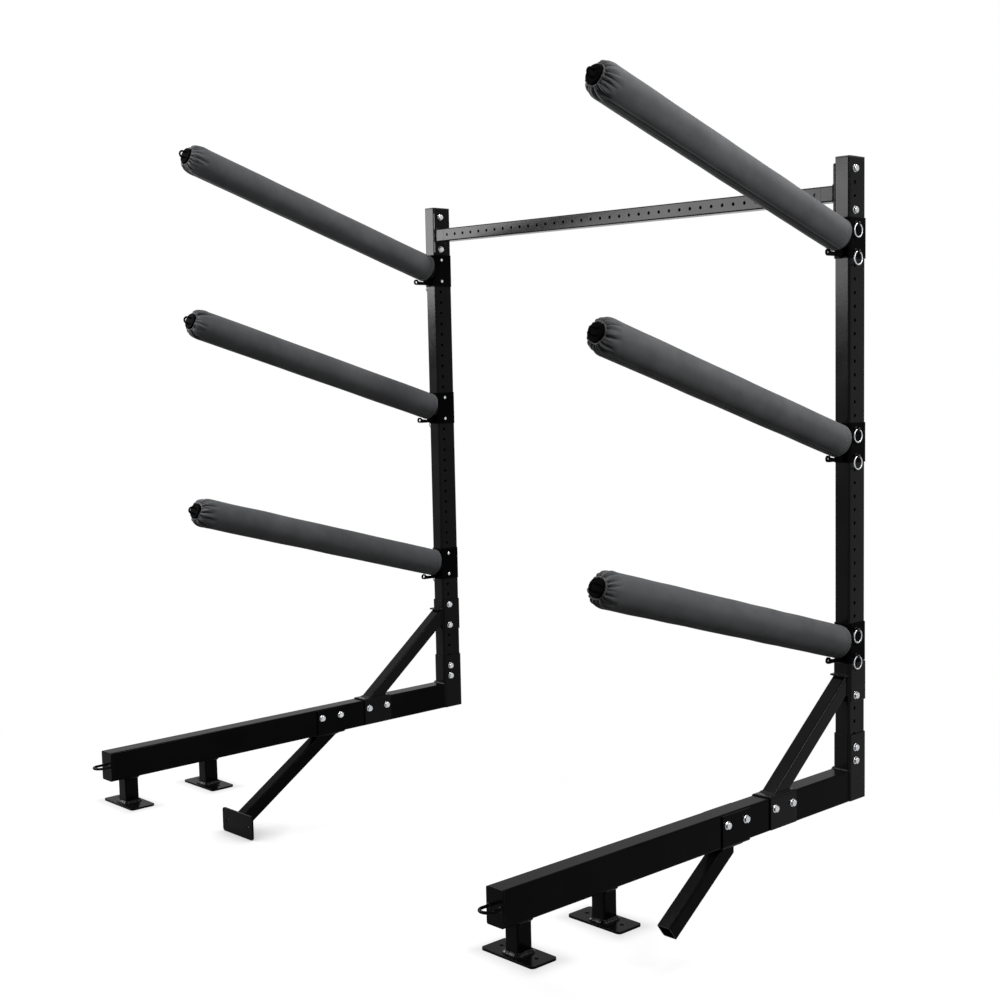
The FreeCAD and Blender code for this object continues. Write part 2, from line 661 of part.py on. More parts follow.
# Padded arms
def build_arm(side, level, x, middle):
    tilt = getattr(d, f"arm_tilt_{level}")
    name = f"{level}_{side}"

    # Arm tube with its end plug and eye
    tube_body = new_body(f"arm_tube_{name}")
    sketch = new_sketch(tube_body, "XZ_Plane")
    outer = d.arm_tube / 2
    inner = outer - d.arm_wall
    end = d.arm_length
    draw_polygon(sketch, ((inner, 0), (outer, 0), (outer, end), (0, end), (0, end - d.arm_plug),
                          (inner, end - d.arm_plug)))
    revolve(tube_body, sketch)
    loop = fuse(f"arm_eye_loop_{name}", half_loop(f"arm_eye_{name}", d.eye_bend, d.eye_rod, d.eye_leg))
    place(loop, 0, 0, end)
    stick = fuse(f"arm_stick_{name}", [tube_body, loop])
    place(stick, x, upright_front, middle, ALONG_X, 90 - tilt)
    web_face = upright_front - d.slip_fit
    box = block(f"arm_trim_{name}", x - d.arm_tube, web_face - 2 * d.arm_length, middle - d.arm_length,
                2 * d.arm_tube, 2 * d.arm_length, 2 * d.arm_length)
    rooted = keep_inside(f"arm_rooted_{name}", stick, box)

    # Bracket around the upright
    height = PIN_STEP * d.hole_pitch + 2 * d.bracket_margin
    bracket = channel(f"arm_bracket_{name}", d.upright_width + 2 * d.slip_fit, d.bracket_reach, d.bracket_thick,
                      d.upright_corner + d.slip_fit, height)
    row = d.slip_fit + d.hole_setback - d.bracket_reach
    pins = [(row, d.bracket_margin + step * PIN_STEP * d.hole_pitch) for step in (0, 1)]
    drill(bracket, "YZ_Plane", pins, d.hole_size)
    place(bracket, x, web_face + d.bracket_reach, middle - height / 2)

    # Gusset under the arm with its lug
    gusset = new_body(f"arm_gusset_{name}")
    sketch = new_sketch(gusset, "YZ_Plane")
    web = -d.slip_fit - d.bracket_thick / 2
    foot = -height / 2
    lug_y, lug_z = -d.lug_reach, -d.lug_drop
    root = d.pad_start - d.bracket_thick
    lap = outer - d.arm_wall / 2
    under_pad = d.pad_size / 2 + d.bracket_thick / 2

    def beside_arm(along, below):
        return (-along * cosine(tilt) - below * sine(tilt), along * sine(tilt) - below * cosine(tilt))

    neck = d.lug_radius / 2
    draw_polygon(sketch, (
        (web, foot), (web - d.lug_radius, foot + neck), (lug_y, lug_z - d.lug_radius), (lug_y, lug_z + neck),
        beside_arm(root, under_pad), beside_arm(root, lap), (web, -lap)))
    pad(gusset, sketch, d.gusset_thick, True)
    lug = new_sketch(gusset, "YZ_Plane")
    draw_circle(lug, lug_y, lug_z, 2 * d.lug_radius)
    pad(gusset, lug, d.gusset_thick, True)
    drill(gusset, "YZ_Plane", [(lug_y, lug_z)], d.lug_hole)
    place(gusset, x, upright_front, middle)
    keep(fuse(f"arm_{name}", [rooted, bracket, gusset]))
    build_pad(name, x, middle, tilt)


def build_pad(name, x, middle, tilt):
    """Fabric cover drawn in at the tip, around a foam sleeve."""
    cover = new_body(f"cover_{name}")
    sketch = new_sketch(cover, "XZ_Plane")
    radius, mouth = d.pad_size / 2, d.pad_mouth / 2
    shoulder = d.pad_end - d.pad_gather
    drop = (radius - mouth).value
    long = d.pad_gather.value
    bow = (drop * drop + long * long) / (2 * drop)
    turn = math.asin(long / bow)
    fabric = d.pad_fabric.value
    r, low, high, end = radius.value, d.pad_start.value, shoulder.value, d.pad_end.value
    centre = V(r - bow, high, 0)
    inner_turn = math.asin(long / (bow - fabric))
    inner_end = centre.x + (bow - fabric) * math.cos(inner_turn)
    outside = sketch.addGeometry(Part.LineSegment(V(r, low, 0), V(r, high, 0)), False)
    crown = sketch.addGeometry(Part.ArcOfCircle(Part.Circle(centre, ALONG_Z, bow), 0, turn), False)
    rim = sketch.addGeometry(Part.LineSegment(V(mouth.value, end, 0), V(inner_end, end, 0)), False)
    lining = sketch.addGeometry(Part.ArcOfCircle(Part.Circle(centre, ALONG_Z, bow - fabric), 0, inner_turn), False)
    inside = sketch.addGeometry(Part.LineSegment(V(r - fabric, high, 0), V(r - fabric, low, 0)), False)
    hem = sketch.addGeometry(Part.LineSegment(V(r - fabric, low, 0), V(r, low, 0)), False)
    tie(sketch, "Vertical", outside)
    tie(sketch, "Tangent", outside, 2, crown, 1)
    tie(sketch, "Coincident", crown, 2, rim, 1)
    tie(sketch, "Horizontal", rim)
    tie(sketch, "Coincident", rim, 2, lining, 2)
    tie(sketch, "Coincident", lining, 3, crown, 3)
    tie(sketch, "Tangent", lining, 1, inside, 1)
    tie(sketch, "Coincident", inside, 2, hem, 1)
    tie(sketch, "Horizontal", hem)
    tie(sketch, "Coincident", hem, 2, outside, 1)
    fix_point(sketch, outside, 1, radius, d.pad_start)
    fix(sketch, "DistanceY", (-1, 1, outside, 2), shoulder)
    fix_point(sketch, crown, 2, mouth, d.pad_end)
    fix(sketch, "DistanceX", (inside, 1, outside, 2), d.pad_fabric)
    revolve(cover, sketch)

    foam = new_body(f"foam_{name}")
    sketch = new_sketch(foam, "XZ_Plane")
    core = d.arm_tube / 2 + d.slip_fit / 2
    skin = radius - d.pad_fabric - d.slip_fit / 2
    draw_polygon(sketch, ((core, d.pad_start), (skin, d.pad_start), (skin, shoulder), (core, shoulder)))
    revolve(foam, sketch)
    for piece in (cover, foam):
        place(piece, x, upright_front, middle, ALONG_X, 90 - tilt)
    keep(group(f"pad_{name}", [cover, foam]))


# Ring pins
def build_pin(name, x, way, height):
    pin = new_body(f"pin_{name}")
    sketch = new_sketch(pin, "XZ_Plane")
    shank = d.hole_size / 2 - d.slip_fit
    collar, head, bevel = d.pin_collar / 2, d.pin_head / 2, d.pin_chamfer
    tip = -bracket_half - d.pin_tip
    neck = bracket_half + d.pin_collar_thick
    end = neck + d.pin_head_length
    draw_polygon(sketch, (
        (0, tip), (shank - bevel, tip), (shank, tip + bevel), (shank, bracket_half), (collar, bracket_half),
        (collar, neck), (head, neck), (head, end - bevel), (head - bevel, end), (0, end)))
    revolve(pin, sketch)
    ring_place = neck + d.ring_offset
    drill(pin, "XZ_Plane", [(0, ring_place)], d.ring_hole)
    place(keep(pin), x, hole_line, height, ALONG_Y * way, 90)

    ring = new_body(f"ring_{name}")
    sketch = new_sketch(ring, "XY_Plane")
    draw_circle(sketch, 0, 0, d.ring_size)
    draw_circle(sketch, 0, 0, d.ring_size - 2 * d.ring_wire)
    pad(ring, sketch, d.ring_wire, True)
    place(keep(ring), x + way * ring_place, hole_line, height - (d.ring_size - d.ring_wire) / 2, ALONG_Y, 90)


for side, way in SIDES:
    centre = way * d.frame_spacing / 2
    build_base(side, centre)
    build_upright(side, centre)
    build_upper_brace(side, centre)
    build_lower_brace(side, centre)
    build_bar_bracket(side, way)
    build_bolts(side, way, centre)
    for level in ("top", "middle", "bottom"):
        upper = UPPER_PIN_HOLE[side, level]
        lower = upper + PIN_STEP
        build_arm(side, level, centre, (hole_height(upper) + hole_height(lower)) / 2)
        for spot, number in (("upper", upper), ("lower", lower)):
            build_pin(f"{level}_{side}_{spot}", centre, way, hole_height(number))
build_crossbar()

doc.recompute()
for item in doc.Objects:
    if "Invalid" in item.State or "Error" in item.State:
        raise ValueError(f"{item.Label} did not build: {item.State}")
os.makedirs("parts", exist_ok=True)
for node in nodes:
    if node.Shape.isNull() or not node.Shape.isValid() or not node.Shape.Solids:
        raise ValueError(f"{node.Label} has no valid solid")
    node.Shape.exportStep(f"parts/{node.Label}.step")
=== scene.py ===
import json
import math

import bmesh
import bpy
import numpy as np
from mathutils import Matrix, Vector


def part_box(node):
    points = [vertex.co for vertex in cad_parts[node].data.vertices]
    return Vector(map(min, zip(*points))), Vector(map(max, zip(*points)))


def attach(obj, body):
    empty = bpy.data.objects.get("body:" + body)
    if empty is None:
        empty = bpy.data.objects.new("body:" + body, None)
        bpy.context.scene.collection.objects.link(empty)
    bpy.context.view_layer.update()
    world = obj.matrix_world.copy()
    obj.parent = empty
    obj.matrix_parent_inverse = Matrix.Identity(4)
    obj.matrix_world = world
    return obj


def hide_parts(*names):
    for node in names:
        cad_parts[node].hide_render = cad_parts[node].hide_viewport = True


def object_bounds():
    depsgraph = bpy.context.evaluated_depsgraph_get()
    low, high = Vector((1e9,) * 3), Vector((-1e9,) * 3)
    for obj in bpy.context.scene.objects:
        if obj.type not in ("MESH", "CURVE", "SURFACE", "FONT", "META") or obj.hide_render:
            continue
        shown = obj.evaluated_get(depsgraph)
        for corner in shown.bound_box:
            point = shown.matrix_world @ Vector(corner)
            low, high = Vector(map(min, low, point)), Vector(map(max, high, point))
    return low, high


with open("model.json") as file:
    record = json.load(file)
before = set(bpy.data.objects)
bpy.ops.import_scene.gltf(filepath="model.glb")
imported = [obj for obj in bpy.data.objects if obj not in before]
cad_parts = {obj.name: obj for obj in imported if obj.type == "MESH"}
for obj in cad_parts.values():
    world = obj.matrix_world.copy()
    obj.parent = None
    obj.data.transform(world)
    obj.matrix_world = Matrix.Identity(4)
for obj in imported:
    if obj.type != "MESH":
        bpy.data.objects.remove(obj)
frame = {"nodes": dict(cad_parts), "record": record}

bl_info = {
    "name": "Dock kayak rack finish",
    "version": (1, 0, 0),
    "blender": (4, 5, 0),
    "location": "3D View > Sidebar > Kayak rack",
    "description": "Finishes, sewn covers, welds and fasteners of a dock kayak rack",
    "category": "Object",
}

CAD_BOX = [list(corner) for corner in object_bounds()]
NODES = frame["nodes"]
SIDES = {"left": -1, "right": 1}
LEVELS = ("top", "middle", "bottom")
ARMS = [f"{level}_{side}" for side in SIDES for level in LEVELS]
PIN_ENDS = ("upper", "lower")
ACROSS = Vector((1, 0, 0))
WATERWARD = Vector((0, 1, 0))
UP = Vector((0, 0, 1))


def linear(code):
    """Linear colour with alpha from an sRGB hex value."""
    parts = [int(code[i:i + 2], 16) / 255 for i in (1, 3, 5)]
    return [c / 12.92 if c <= 0.04045 else ((c + 0.055) / 1.055) ** 2.4 for c in parts] + [1.0]


def length(name, description, default):
    """A length setting, in metres."""
    return bpy.props.FloatProperty(name=name, description=description, default=default, unit="LENGTH",
                                   precision=4)


def angle(name, description, degrees):
    """An angle setting."""
    return bpy.props.FloatProperty(name=name, description=description, default=math.radians(degrees),
                                   subtype="ANGLE")


def colour(name, description, default):
    """A colour setting, from an sRGB hex value."""
    return bpy.props.FloatVectorProperty(name=name, description=description, default=linear(default),
                                         size=4, min=0, max=1, subtype="COLOR")


# Sizes and colours that a user would change
class RackCoverSettings(bpy.types.PropertyGroup):
    """Sewn covers of the six arms."""
    tilt_top: angle("Top tilt", "Top arms above the horizontal", 18.7)
    tilt_middle: angle("Middle tilt", "Middle arms above the horizontal", 17.4)
    tilt_bottom: angle("Bottom tilt", "Bottom arms above the horizontal", 15.5)
    radius: length("Radius", "Outside of the padded cover", 0.0475)
    start: length("Start", "Hem of the cover, measured along the arm from the upright", 0.021)
    end: length("End", "Drawn-in end of the cover, measured along the arm from the upright", 1.024)
    gather: length("Gather", "Length of the drawn-in end", 0.040)
    mouth: length("Mouth", "Radius of the opening at the tip", 0.0252)
    bore: length("Bore", "Radius of the hole that the arm tube goes through", 0.0244)
    rim: length("Rim", "Half the thickness of the corded rim of the mouth", 0.0024)
    pleats: bpy.props.IntProperty(name="Pleats", description="Deep folds round the mouth", default=19,
                                  min=6, max=40)
    pleat_depth: length("Pleat depth", "Deepest fold of the drawn-in end", 0.0115)
    pleat_reach: length("Pleat reach", "Length of a fold from the mouth along the arm", 0.062)
    seam: length("Seam", "Width of the lengthwise seam under the cover", 0.011)
    hem: length("Hem", "Turned-in hem at the root of the cover", 0.016)


class RackSteelSettings(bpy.types.PropertyGroup):
    """Welds and fasteners of the steel frames."""
    weld_leg: length("Weld leg", "Leg of an ordinary weld", 0.0055)
    foot_weld_leg: length("Foot weld leg", "Leg of the weld at the foot of a post", 0.009)
    ripple: length("Ripple", "Spacing of the ripples of a weld", 0.0045)
    ring_wire: length("Ring wire", "Wire of a pull ring", 0.0038)
    washer: length("Washer", "Outside radius of a washer", 0.0108)
    washer_thick: length("Washer thickness", "Thickness of a washer", 0.0018)
    bolt_flats: length("Across flats", "Bolt head and nut across flats", 0.017)


class RackColourSettings(bpy.types.PropertyGroup):
    """Colours of the finishes."""
    coat: colour("Powder coat", "Black coat of the steel", "#050505")
    # Paler coat: mottle and edge wear, and also a painted highlight along the edges of the steel
    coat_mottle_and_edge_highlight: colour("Powder coat, worn", "Black coat on edges and high spots", "#131314")
    cloth: colour("Cover cloth", "Charcoal cloth of the covers", "#565758")
    # Painted shade between the threads, and the darker clouds of wear
    cloth_thread_shade_and_wear: colour("Cover cloth, deep", "Charcoal cloth between its threads", "#3c3d3e")
    zinc: colour("Zinc", "Bright zinc plating", "#e2e4e6")
    zinc_dull: colour("Zinc, dull", "Zinc plating where it has dulled", "#8d9092")
    # Darker zinc on the pin heads, outside the brackets
    zinc_pin_head: colour("Zinc, worn", "Zinc plating worn and soiled by handling, on the pin heads", "#2c2d2e")
    cap: colour("Cap plastic", "Black plastic of the tube caps", "#141414")
    floor: colour("Floor", "Pale studio floor", "#f6f6f5")
    floor_bounce: colour("Floor bounce", "Floor as it lights the undersides", "#363636")


class RackSettings(bpy.types.PropertyGroup):
    """All settings of the rack."""
    covers: bpy.props.PointerProperty(type=RackCoverSettings)
    steel: bpy.props.PointerProperty(type=RackSteelSettings)
    colours: bpy.props.PointerProperty(type=RackColourSettings)


# Node and mesh helpers
def add_node(tree, kind, settings=None, inputs=None):
    """A shader node with its settings, and its inputs set to values or linked to other nodes' outputs."""
    node = tree.nodes.new(kind)
    for name, value in (settings or {}).items():
        setattr(node, name, value)
    for name, value in (inputs or {}).items():
        if isinstance(value, bpy.types.NodeSocket):
            tree.links.new(value, node.inputs[name])
        else:
            node.inputs[name].default_value = value
    return node


def new_material(name):
    """An empty node material and its tree."""
    material = bpy.data.materials.new(name)
    material.use_nodes = True
    material.node_tree.nodes.clear()
    return material, material.node_tree


def wave_scale(spacing):
    """Scale of a wave texture whose bands stand this far apart, in metres."""
    return 2 * math.pi / (20 * spacing)


def new_piece(name, points, faces, material, crease=180):
    """A mesh object from points and faces, smooth except at edges sharper than crease, in degrees."""
    mesh = bpy.data.meshes.new(name)
    mesh.from_pydata([tuple(point) for point in points], [], faces)
    shell = bmesh.new()
    shell.from_mesh(mesh)
    bmesh.ops.recalc_face_normals(shell, faces=shell.faces)
    shell.to_mesh(mesh)
    shell.free()
    mesh.materials.append(material)
    mesh.polygons.foreach_set("use_smooth", [True] * len(mesh.polygons))
    mesh.set_sharp_from_angle(angle=math.radians(crease))
    piece = bpy.data.objects.new(name, mesh)
    bpy.context.scene.collection.objects.link(piece)
    return piece


def stitch_rings(count, around, closed):
    """Quads between rings of points, each ring with as many points as around."""
    faces = []
    for ring in range(count if closed else count - 1):
        here, there = ring * around, (ring + 1) % count * around
        for k in range(around):
            after = (k + 1) % around
            faces.append((here + k, here + after, there + after, there + k))
    return faces


class Parts:
    """Points and faces of several shells that make one piece."""

    def __init__(self):
        self.points = []
        self.faces = []

    def add(self, points, faces):
        """Add one shell."""
        base = len(self.points)
        self.points.extend(points)
        self.faces.extend(tuple(base + i for i in face) for face in faces)


# Materials
def black_powder_coat(colours, kind):
    """Polyester powder sprayed on steel and baked; rubbed dull on the arms and splashed dull low down."""
    # A hard, even black skin with a faint orange peel, a soft gloss, and a paler line along edges, where the
    # coat is worn and where it is a painted edge highlight
    material, tree = new_material(f"black_powder_coat_{kind}")
    peel_size, peel_height, cloud_size, edge_size = 0.004, 0.0006, 0.12, 0.0016
    level = {"baked": 0.062, "rubbed": 0.006, "splashed": 0.021}[kind]
    place = add_node(tree, "ShaderNodeTexCoord")
    edge = add_node(tree, "ShaderNodeBevel", {"samples": 4}, {"Radius": edge_size})
    shape = add_node(tree, "ShaderNodeNewGeometry")
    lean = add_node(tree, "ShaderNodeVectorMath", {"operation": "DOT_PRODUCT"},
                    {0: edge.outputs["Normal"], 1: shape.outputs["Normal"]})
    # Paler near edges: edge wear, and a painted edge highlight
    edge_wear_and_highlight = add_node(tree, "ShaderNodeMapRange", {}, {
        "Value": lean.outputs["Value"], "From Min": 0.995, "From Max": 0.80, "To Min": 0.0, "To Max": 0.85})
    cloud = add_node(tree, "ShaderNodeTexNoise", {}, {
        "Vector": place.outputs["Object"], "Scale": 1 / cloud_size, "Detail": 5.0})
    mottle = add_node(tree, "ShaderNodeMapRange", {}, {
        "Value": cloud.outputs["Fac"], "From Min": 0.35, "From Max": 0.75, "To Min": 0.0, "To Max": 0.35})
    most = add_node(tree, "ShaderNodeMath", {"operation": "MAXIMUM"},
                    {0: edge_wear_and_highlight.outputs["Result"], 1: mottle.outputs["Result"]})
    tint = add_node(tree, "ShaderNodeMix", {"data_type": "RGBA"},
                    {"Factor": most.outputs["Value"], "A": colours.coat, "B": colours.coat_mottle_and_edge_highlight})
    gloss = add_node(tree, "ShaderNodeMapRange", {}, {
        "Value": cloud.outputs["Fac"], "From Min": 0.3, "From Max": 0.7, "To Min": 0.15, "To Max": 0.23})
    rough = gloss.outputs["Result"]
    if kind == "rubbed":
        # Matt at the tip, where the mouth of the cover rubs, over a length beyond the eye
        matt, rubbed_end, rubbed_start = 0.80, 0.06, 0.10
        tip = max(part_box(f"arm_{name}")[0].y for name in ARMS)
        depth = add_node(tree, "ShaderNodeSeparateXYZ", {}, {"Vector": place.outputs["Object"]})
        rough = add_node(tree, "ShaderNodeMapRange", {}, {
            "Value": depth.outputs["Y"], "From Min": tip + rubbed_end, "From Max": tip + rubbed_start,
            "To Min": matt, "To Max": rough}).outputs["Result"]
    peel = add_node(tree, "ShaderNodeTexNoise", {}, {
        "Vector": place.outputs["Object"], "Scale": 1 / peel_size, "Detail": 2.0})
    bump = add_node(tree, "ShaderNodeBump", {}, {
        "Height": peel.outputs["Fac"], "Strength": 0.10, "Distance": peel_height,
        "Normal": edge.outputs["Normal"]})
    skin = add_node(tree, "ShaderNodeBsdfPrincipled", {}, {
        "Base Color": tint.outputs["Result"], "Roughness": rough, "IOR": 1.5, "Specular IOR Level": level,
        "Normal": bump.outputs["Normal"]})
    add_node(tree, "ShaderNodeOutputMaterial", {}, {"Surface": skin.outputs["BSDF"]})
    return material


def zinc_plate(colours, kind):
    """Steel with electroplated zinc; a pin is darker on its head, a drawn wire is chalky."""
    # A pale blue-white metal, bright on its high spots, clouded where the plating has dulled
    material, tree = new_material(f"zinc_plate_{kind}")
    cloud_size, grain_size, grain_height, edge_size = 0.006, 0.0012, 0.0003, 0.0006
    smooth, rough, metallic = (0.32, 0.46, 0.60) if kind == "drawn" else (0.14, 0.30, 1.0)
    place = add_node(tree, "ShaderNodeTexCoord")
    edge = add_node(tree, "ShaderNodeBevel", {"samples": 4}, {"Radius": edge_size})
    cloud = add_node(tree, "ShaderNodeTexNoise", {}, {
        "Vector": place.outputs["Object"], "Scale": 1 / cloud_size, "Detail": 4.0})
    tint = add_node(tree, "ShaderNodeMix", {"data_type": "RGBA"},
                    {"Factor": cloud.outputs["Fac"], "A": colours.zinc, "B": colours.zinc_dull})
    shade = tint.outputs["Result"]
    if kind == "dark_headed":
        # Darker from the bracket's outer face outwards
        blend = 0.001
        outside = max(-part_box("arm_top_left")[0].x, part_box("arm_top_right")[1].x)
        cross = add_node(tree, "ShaderNodeSeparateXYZ", {}, {"Vector": place.outputs["Object"]})
        out = add_node(tree, "ShaderNodeMath", {"operation": "ABSOLUTE"}, {0: cross.outputs["X"]})
        head = add_node(tree, "ShaderNodeMapRange", {}, {
            "Value": out.outputs["Value"], "From Min": outside - blend, "From Max": outside})
        shade = add_node(tree, "ShaderNodeMix", {"data_type": "RGBA"}, {
            "Factor": head.outputs["Result"], "A": shade, "B": colours.zinc_pin_head}).outputs["Result"]
    gloss = add_node(tree, "ShaderNodeMapRange", {}, {
        "Value": cloud.outputs["Fac"], "To Min": smooth, "To Max": rough})
    grain = add_node(tree, "ShaderNodeTexNoise", {}, {
        "Vector": place.outputs["Object"], "Scale": 1 / grain_size})
    bump = add_node(tree, "ShaderNodeBump", {}, {
        "Height": grain.outputs["Fac"], "Strength": 0.08, "Distance": grain_height,
        "Normal": edge.outputs["Normal"]})
    metal = add_node(tree, "ShaderNodeBsdfPrincipled", {}, {
        "Base Color": shade, "Metallic": metallic, "Roughness": gloss.outputs["Result"],
        "Normal": bump.outputs["Normal"]})
    add_node(tree, "ShaderNodeOutputMaterial", {}, {"Surface": metal.outputs["BSDF"]})
    return material


def cap_plastic(colours):
    """Polyethylene moulded in a tool with a fine grain."""
    # A dark, slightly waxy black with a dull, even grain
    material, tree = new_material("black_polyethylene_moulded")
    grain_size, grain_height, edge_size = 0.0025, 0.0004, 0.0015
    place = add_node(tree, "ShaderNodeTexCoord")
    edge = add_node(tree, "ShaderNodeBevel", {"samples": 4}, {"Radius": edge_size})
    grain = add_node(tree, "ShaderNodeTexVoronoi", {}, {
        "Vector": place.outputs["Object"], "Scale": 1 / grain_size})
    gloss = add_node(tree, "ShaderNodeMapRange", {}, {
        "Value": grain.outputs["Distance"], "To Min": 0.45, "To Max": 0.60})
    shade = add_node(tree, "ShaderNodeMapRange", {}, {
        "Value": grain.outputs["Distance"], "To Min": 0.0, "To Max": 0.3})
    tint = add_node(tree, "ShaderNodeMix", {"data_type": "RGBA"},
                    {"Factor": shade.outputs["Result"], "A": colours.cap, "B": colours.coat_mottle_and_edge_highlight})
    bump = add_node(tree, "ShaderNodeBump", {}, {
        "Height": grain.outputs["Distance"], "Strength": 0.15, "Distance": grain_height,
        "Normal": edge.outputs["Normal"]})
    skin = add_node(tree, "ShaderNodeBsdfPrincipled", {}, {
        "Base Color": tint.outputs["Result"], "Roughness": gloss.outputs["Result"], "IOR": 1.51,
        "Specular IOR Level": 0.2, "Normal": bump.outputs["Normal"]})
    add_node(tree, "ShaderNodeOutputMaterial", {}, {"Surface": skin.outputs["BSDF"]})
    return material


def charcoal_cloth(colours):
    """Polyester cloth, plain woven and coated on its back."""
    # A matt grey with a fine square weave, painted shade between its threads, a soft sheen at grazing angles
    # and faint clouds of wear
    material, tree = new_material("charcoal_polyester_woven")
    thread = 0.0022  # real threads stand 0.6 mm apart, too fine for the render
    thread_height, cloud_size = 0.0004, 0.09
    laid = add_node(tree, "ShaderNodeUVMap", {"uv_map": "cloth"})
    place = add_node(tree, "ShaderNodeTexCoord")
    warp = add_node(tree, "ShaderNodeTexWave", {"bands_direction": "X"},
                    {"Vector": laid.outputs["UV"], "Scale": wave_scale(thread)})
    weft = add_node(tree, "ShaderNodeTexWave", {"bands_direction": "Y"},
                    {"Vector": laid.outputs["UV"], "Scale": wave_scale(thread)})
    weave = add_node(tree, "ShaderNodeMath", {"operation": "MULTIPLY"},
                     {0: warp.outputs["Fac"], 1: weft.outputs["Fac"]})
    cloud = add_node(tree, "ShaderNodeTexNoise", {}, {
        "Vector": place.outputs["Object"], "Scale": 1 / cloud_size, "Detail": 6.0, "Roughness": 0.6})
    # Painted shade between the threads of the weave, added to the clouds of wear
    share = add_node(tree, "ShaderNodeMapRange", {}, {
        "Value": weave.outputs["Value"], "To Min": 0.25, "To Max": 0.0})
    fade = add_node(tree, "ShaderNodeMapRange", {}, {
        "Value": cloud.outputs["Fac"], "From Min": 0.35, "From Max": 0.65, "To Min": 0.0, "To Max": 0.35})
    deep = add_node(tree, "ShaderNodeMath", {"operation": "ADD", "use_clamp": True},
                    {0: share.outputs["Result"], 1: fade.outputs["Result"]})
    tint = add_node(tree, "ShaderNodeMix", {"data_type": "RGBA"},
                    {"Factor": deep.outputs["Value"], "A": colours.cloth, "B": colours.cloth_thread_shade_and_wear})
    bump = add_node(tree, "ShaderNodeBump", {}, {
        "Height": weave.outputs["Value"], "Strength": 0.25, "Distance": thread_height})
    gloss = add_node(tree, "ShaderNodeMapRange", {}, {
        "Value": cloud.outputs["Fac"], "To Min": 0.62, "To Max": 0.82})
    cloth = add_node(tree, "ShaderNodeBsdfPrincipled", {}, {
        "Base Color": tint.outputs["Result"], "Roughness": gloss.outputs["Result"], "IOR": 1.5,
        "Specular IOR Level": 0.05, "Sheen Weight": 0.03, "Sheen Roughness": 0.5,
        "Normal": bump.outputs["Normal"]})
    add_node(tree, "ShaderNodeOutputMaterial", {}, {"Surface": cloth.outputs["BSDF"]})
    return material


# Makers of the record's slots, of their worn kinds and of zinc with darker pin heads
MAKERS = {
    "black_powder_coat": (black_powder_coat, "baked"),
    "rubbed_coat": (black_powder_coat, "rubbed"),
    "splashed_coat": (black_powder_coat, "splashed"),
    "zinc_plate": (zinc_plate, "electroplated"),
    "pin_head_zinc": (zinc_plate, "dark_headed"),
    "drawn_zinc": (zinc_plate, "drawn"),
    "black_plastic": (cap_plastic,),
    "charcoal_fabric": (charcoal_cloth,),
}
FINISHES = {}


def finish(name):
    """The material for a slot, or a worn or darkened kind of it, made once."""
    if name not in FINISHES:
        maker, *kind = MAKERS[name]
        FINISHES[name] = maker(bpy.context.scene.rack.colours, *kind)
    return FINISHES[name]


# Places taken from the frame
def node_middle(node):
    """Middle of a node's box."""
    low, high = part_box(node)
    return (low + high) / 2


def arm_axis(name):
    """Root of an arm on the upright's face, with its direction and the upward direction square to it."""
    covers = bpy.context.scene.rack.covers
    level, side = name.split("_")
    tilt = getattr(covers, f"tilt_{level}")
    pins = [node_middle(f"pin_{name}_{end}") for end in PIN_ENDS]
    low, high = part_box(f"upright_{side}")
    root = Vector(((low.x + high.x) / 2, low.y, (pins[0].z + pins[1].z) / 2))
    ahead = Vector((0, -math.cos(tilt), math.sin(tilt)))
    return root, ahead, Vector((0, math.sin(tilt), math.cos(tilt)))


# Worn kinds of finish, and zinc darker on the pin heads, by the first word of a node's name
WORN_AND_DARKENED = {"pin": "pin_head_zinc", "arm": "rubbed_coat", "base": "splashed_coat", "beam": "splashed_coat",
        "posts": "splashed_coat", "lower": "splashed_coat", "dock": "splashed_coat"}


class RACK_OT_finish_steel(bpy.types.Operator):
    """Give every piece of the frame and the arms its finish"""
    bl_idname = "rack.finish_steel"
    bl_label = "Finish the steel"

    def execute(self, context):
        slots = {part["node"]: part["material_slot"] for part in frame["record"]["subparts"]}
        for name, node in NODES.items():
            node.data.materials.clear()
            node.data.materials.append(finish(WORN_AND_DARKENED.get(name.split("_")[0], slots[name])))
        return {"FINISHED"}


# Padded covers
def pleat_plan(covers, seed):
    """Angle, strength, reach and slant of each fold round the mouth of one cover."""
    draw = np.random.default_rng(seed)
    count = covers.pleats
    shift, weakest, least, gain, shortest, tilt = 0.38, 0.25, 0.4, 0.7, 0.75, 0.22
    spots = 2 * np.pi * (np.arange(count) + draw.uniform(-shift, shift, count)) / count
    strength = draw.uniform(weakest, 1.0, count)
    reach = covers.pleat_reach * (least + gain * strength) * draw.uniform(shortest, 1.0, count)
    slant = draw.uniform(-tilt, tilt, count)
    return spots, strength, reach, slant


def cover_profile(covers):
    """Outside of a cover from hem to mouth: places along the arm, radii, and distances left to the mouth."""
    hem_end, shoulder = covers.start + covers.hem, covers.end - covers.gather
    first, past_hem, fine = 0.006, 0.012, 0.05
    groove = hem_end + np.array([-0.003, -0.0012, 0, 0.0012, 0.003])
    body = np.linspace(hem_end + past_hem, shoulder - fine, 30)
    near = np.linspace(shoulder - fine, shoulder, 16)[1:]
    bend = np.linspace(0, np.pi / 2, 30)[1:]
    face = covers.mouth + 2 * covers.rim
    crown = shoulder + covers.gather * np.sin(bend)
    along = np.concatenate([[covers.start + first], groove, body, near, crown])
    radius = np.full(len(along), covers.radius)
    radius[-len(bend):] = face + (covers.radius - face) * np.maximum(np.cos(bend), 0)
    steps = np.hypot(np.diff(along), np.diff(radius))
    return along, radius, np.append(np.cumsum(steps[::-1])[::-1], 0)


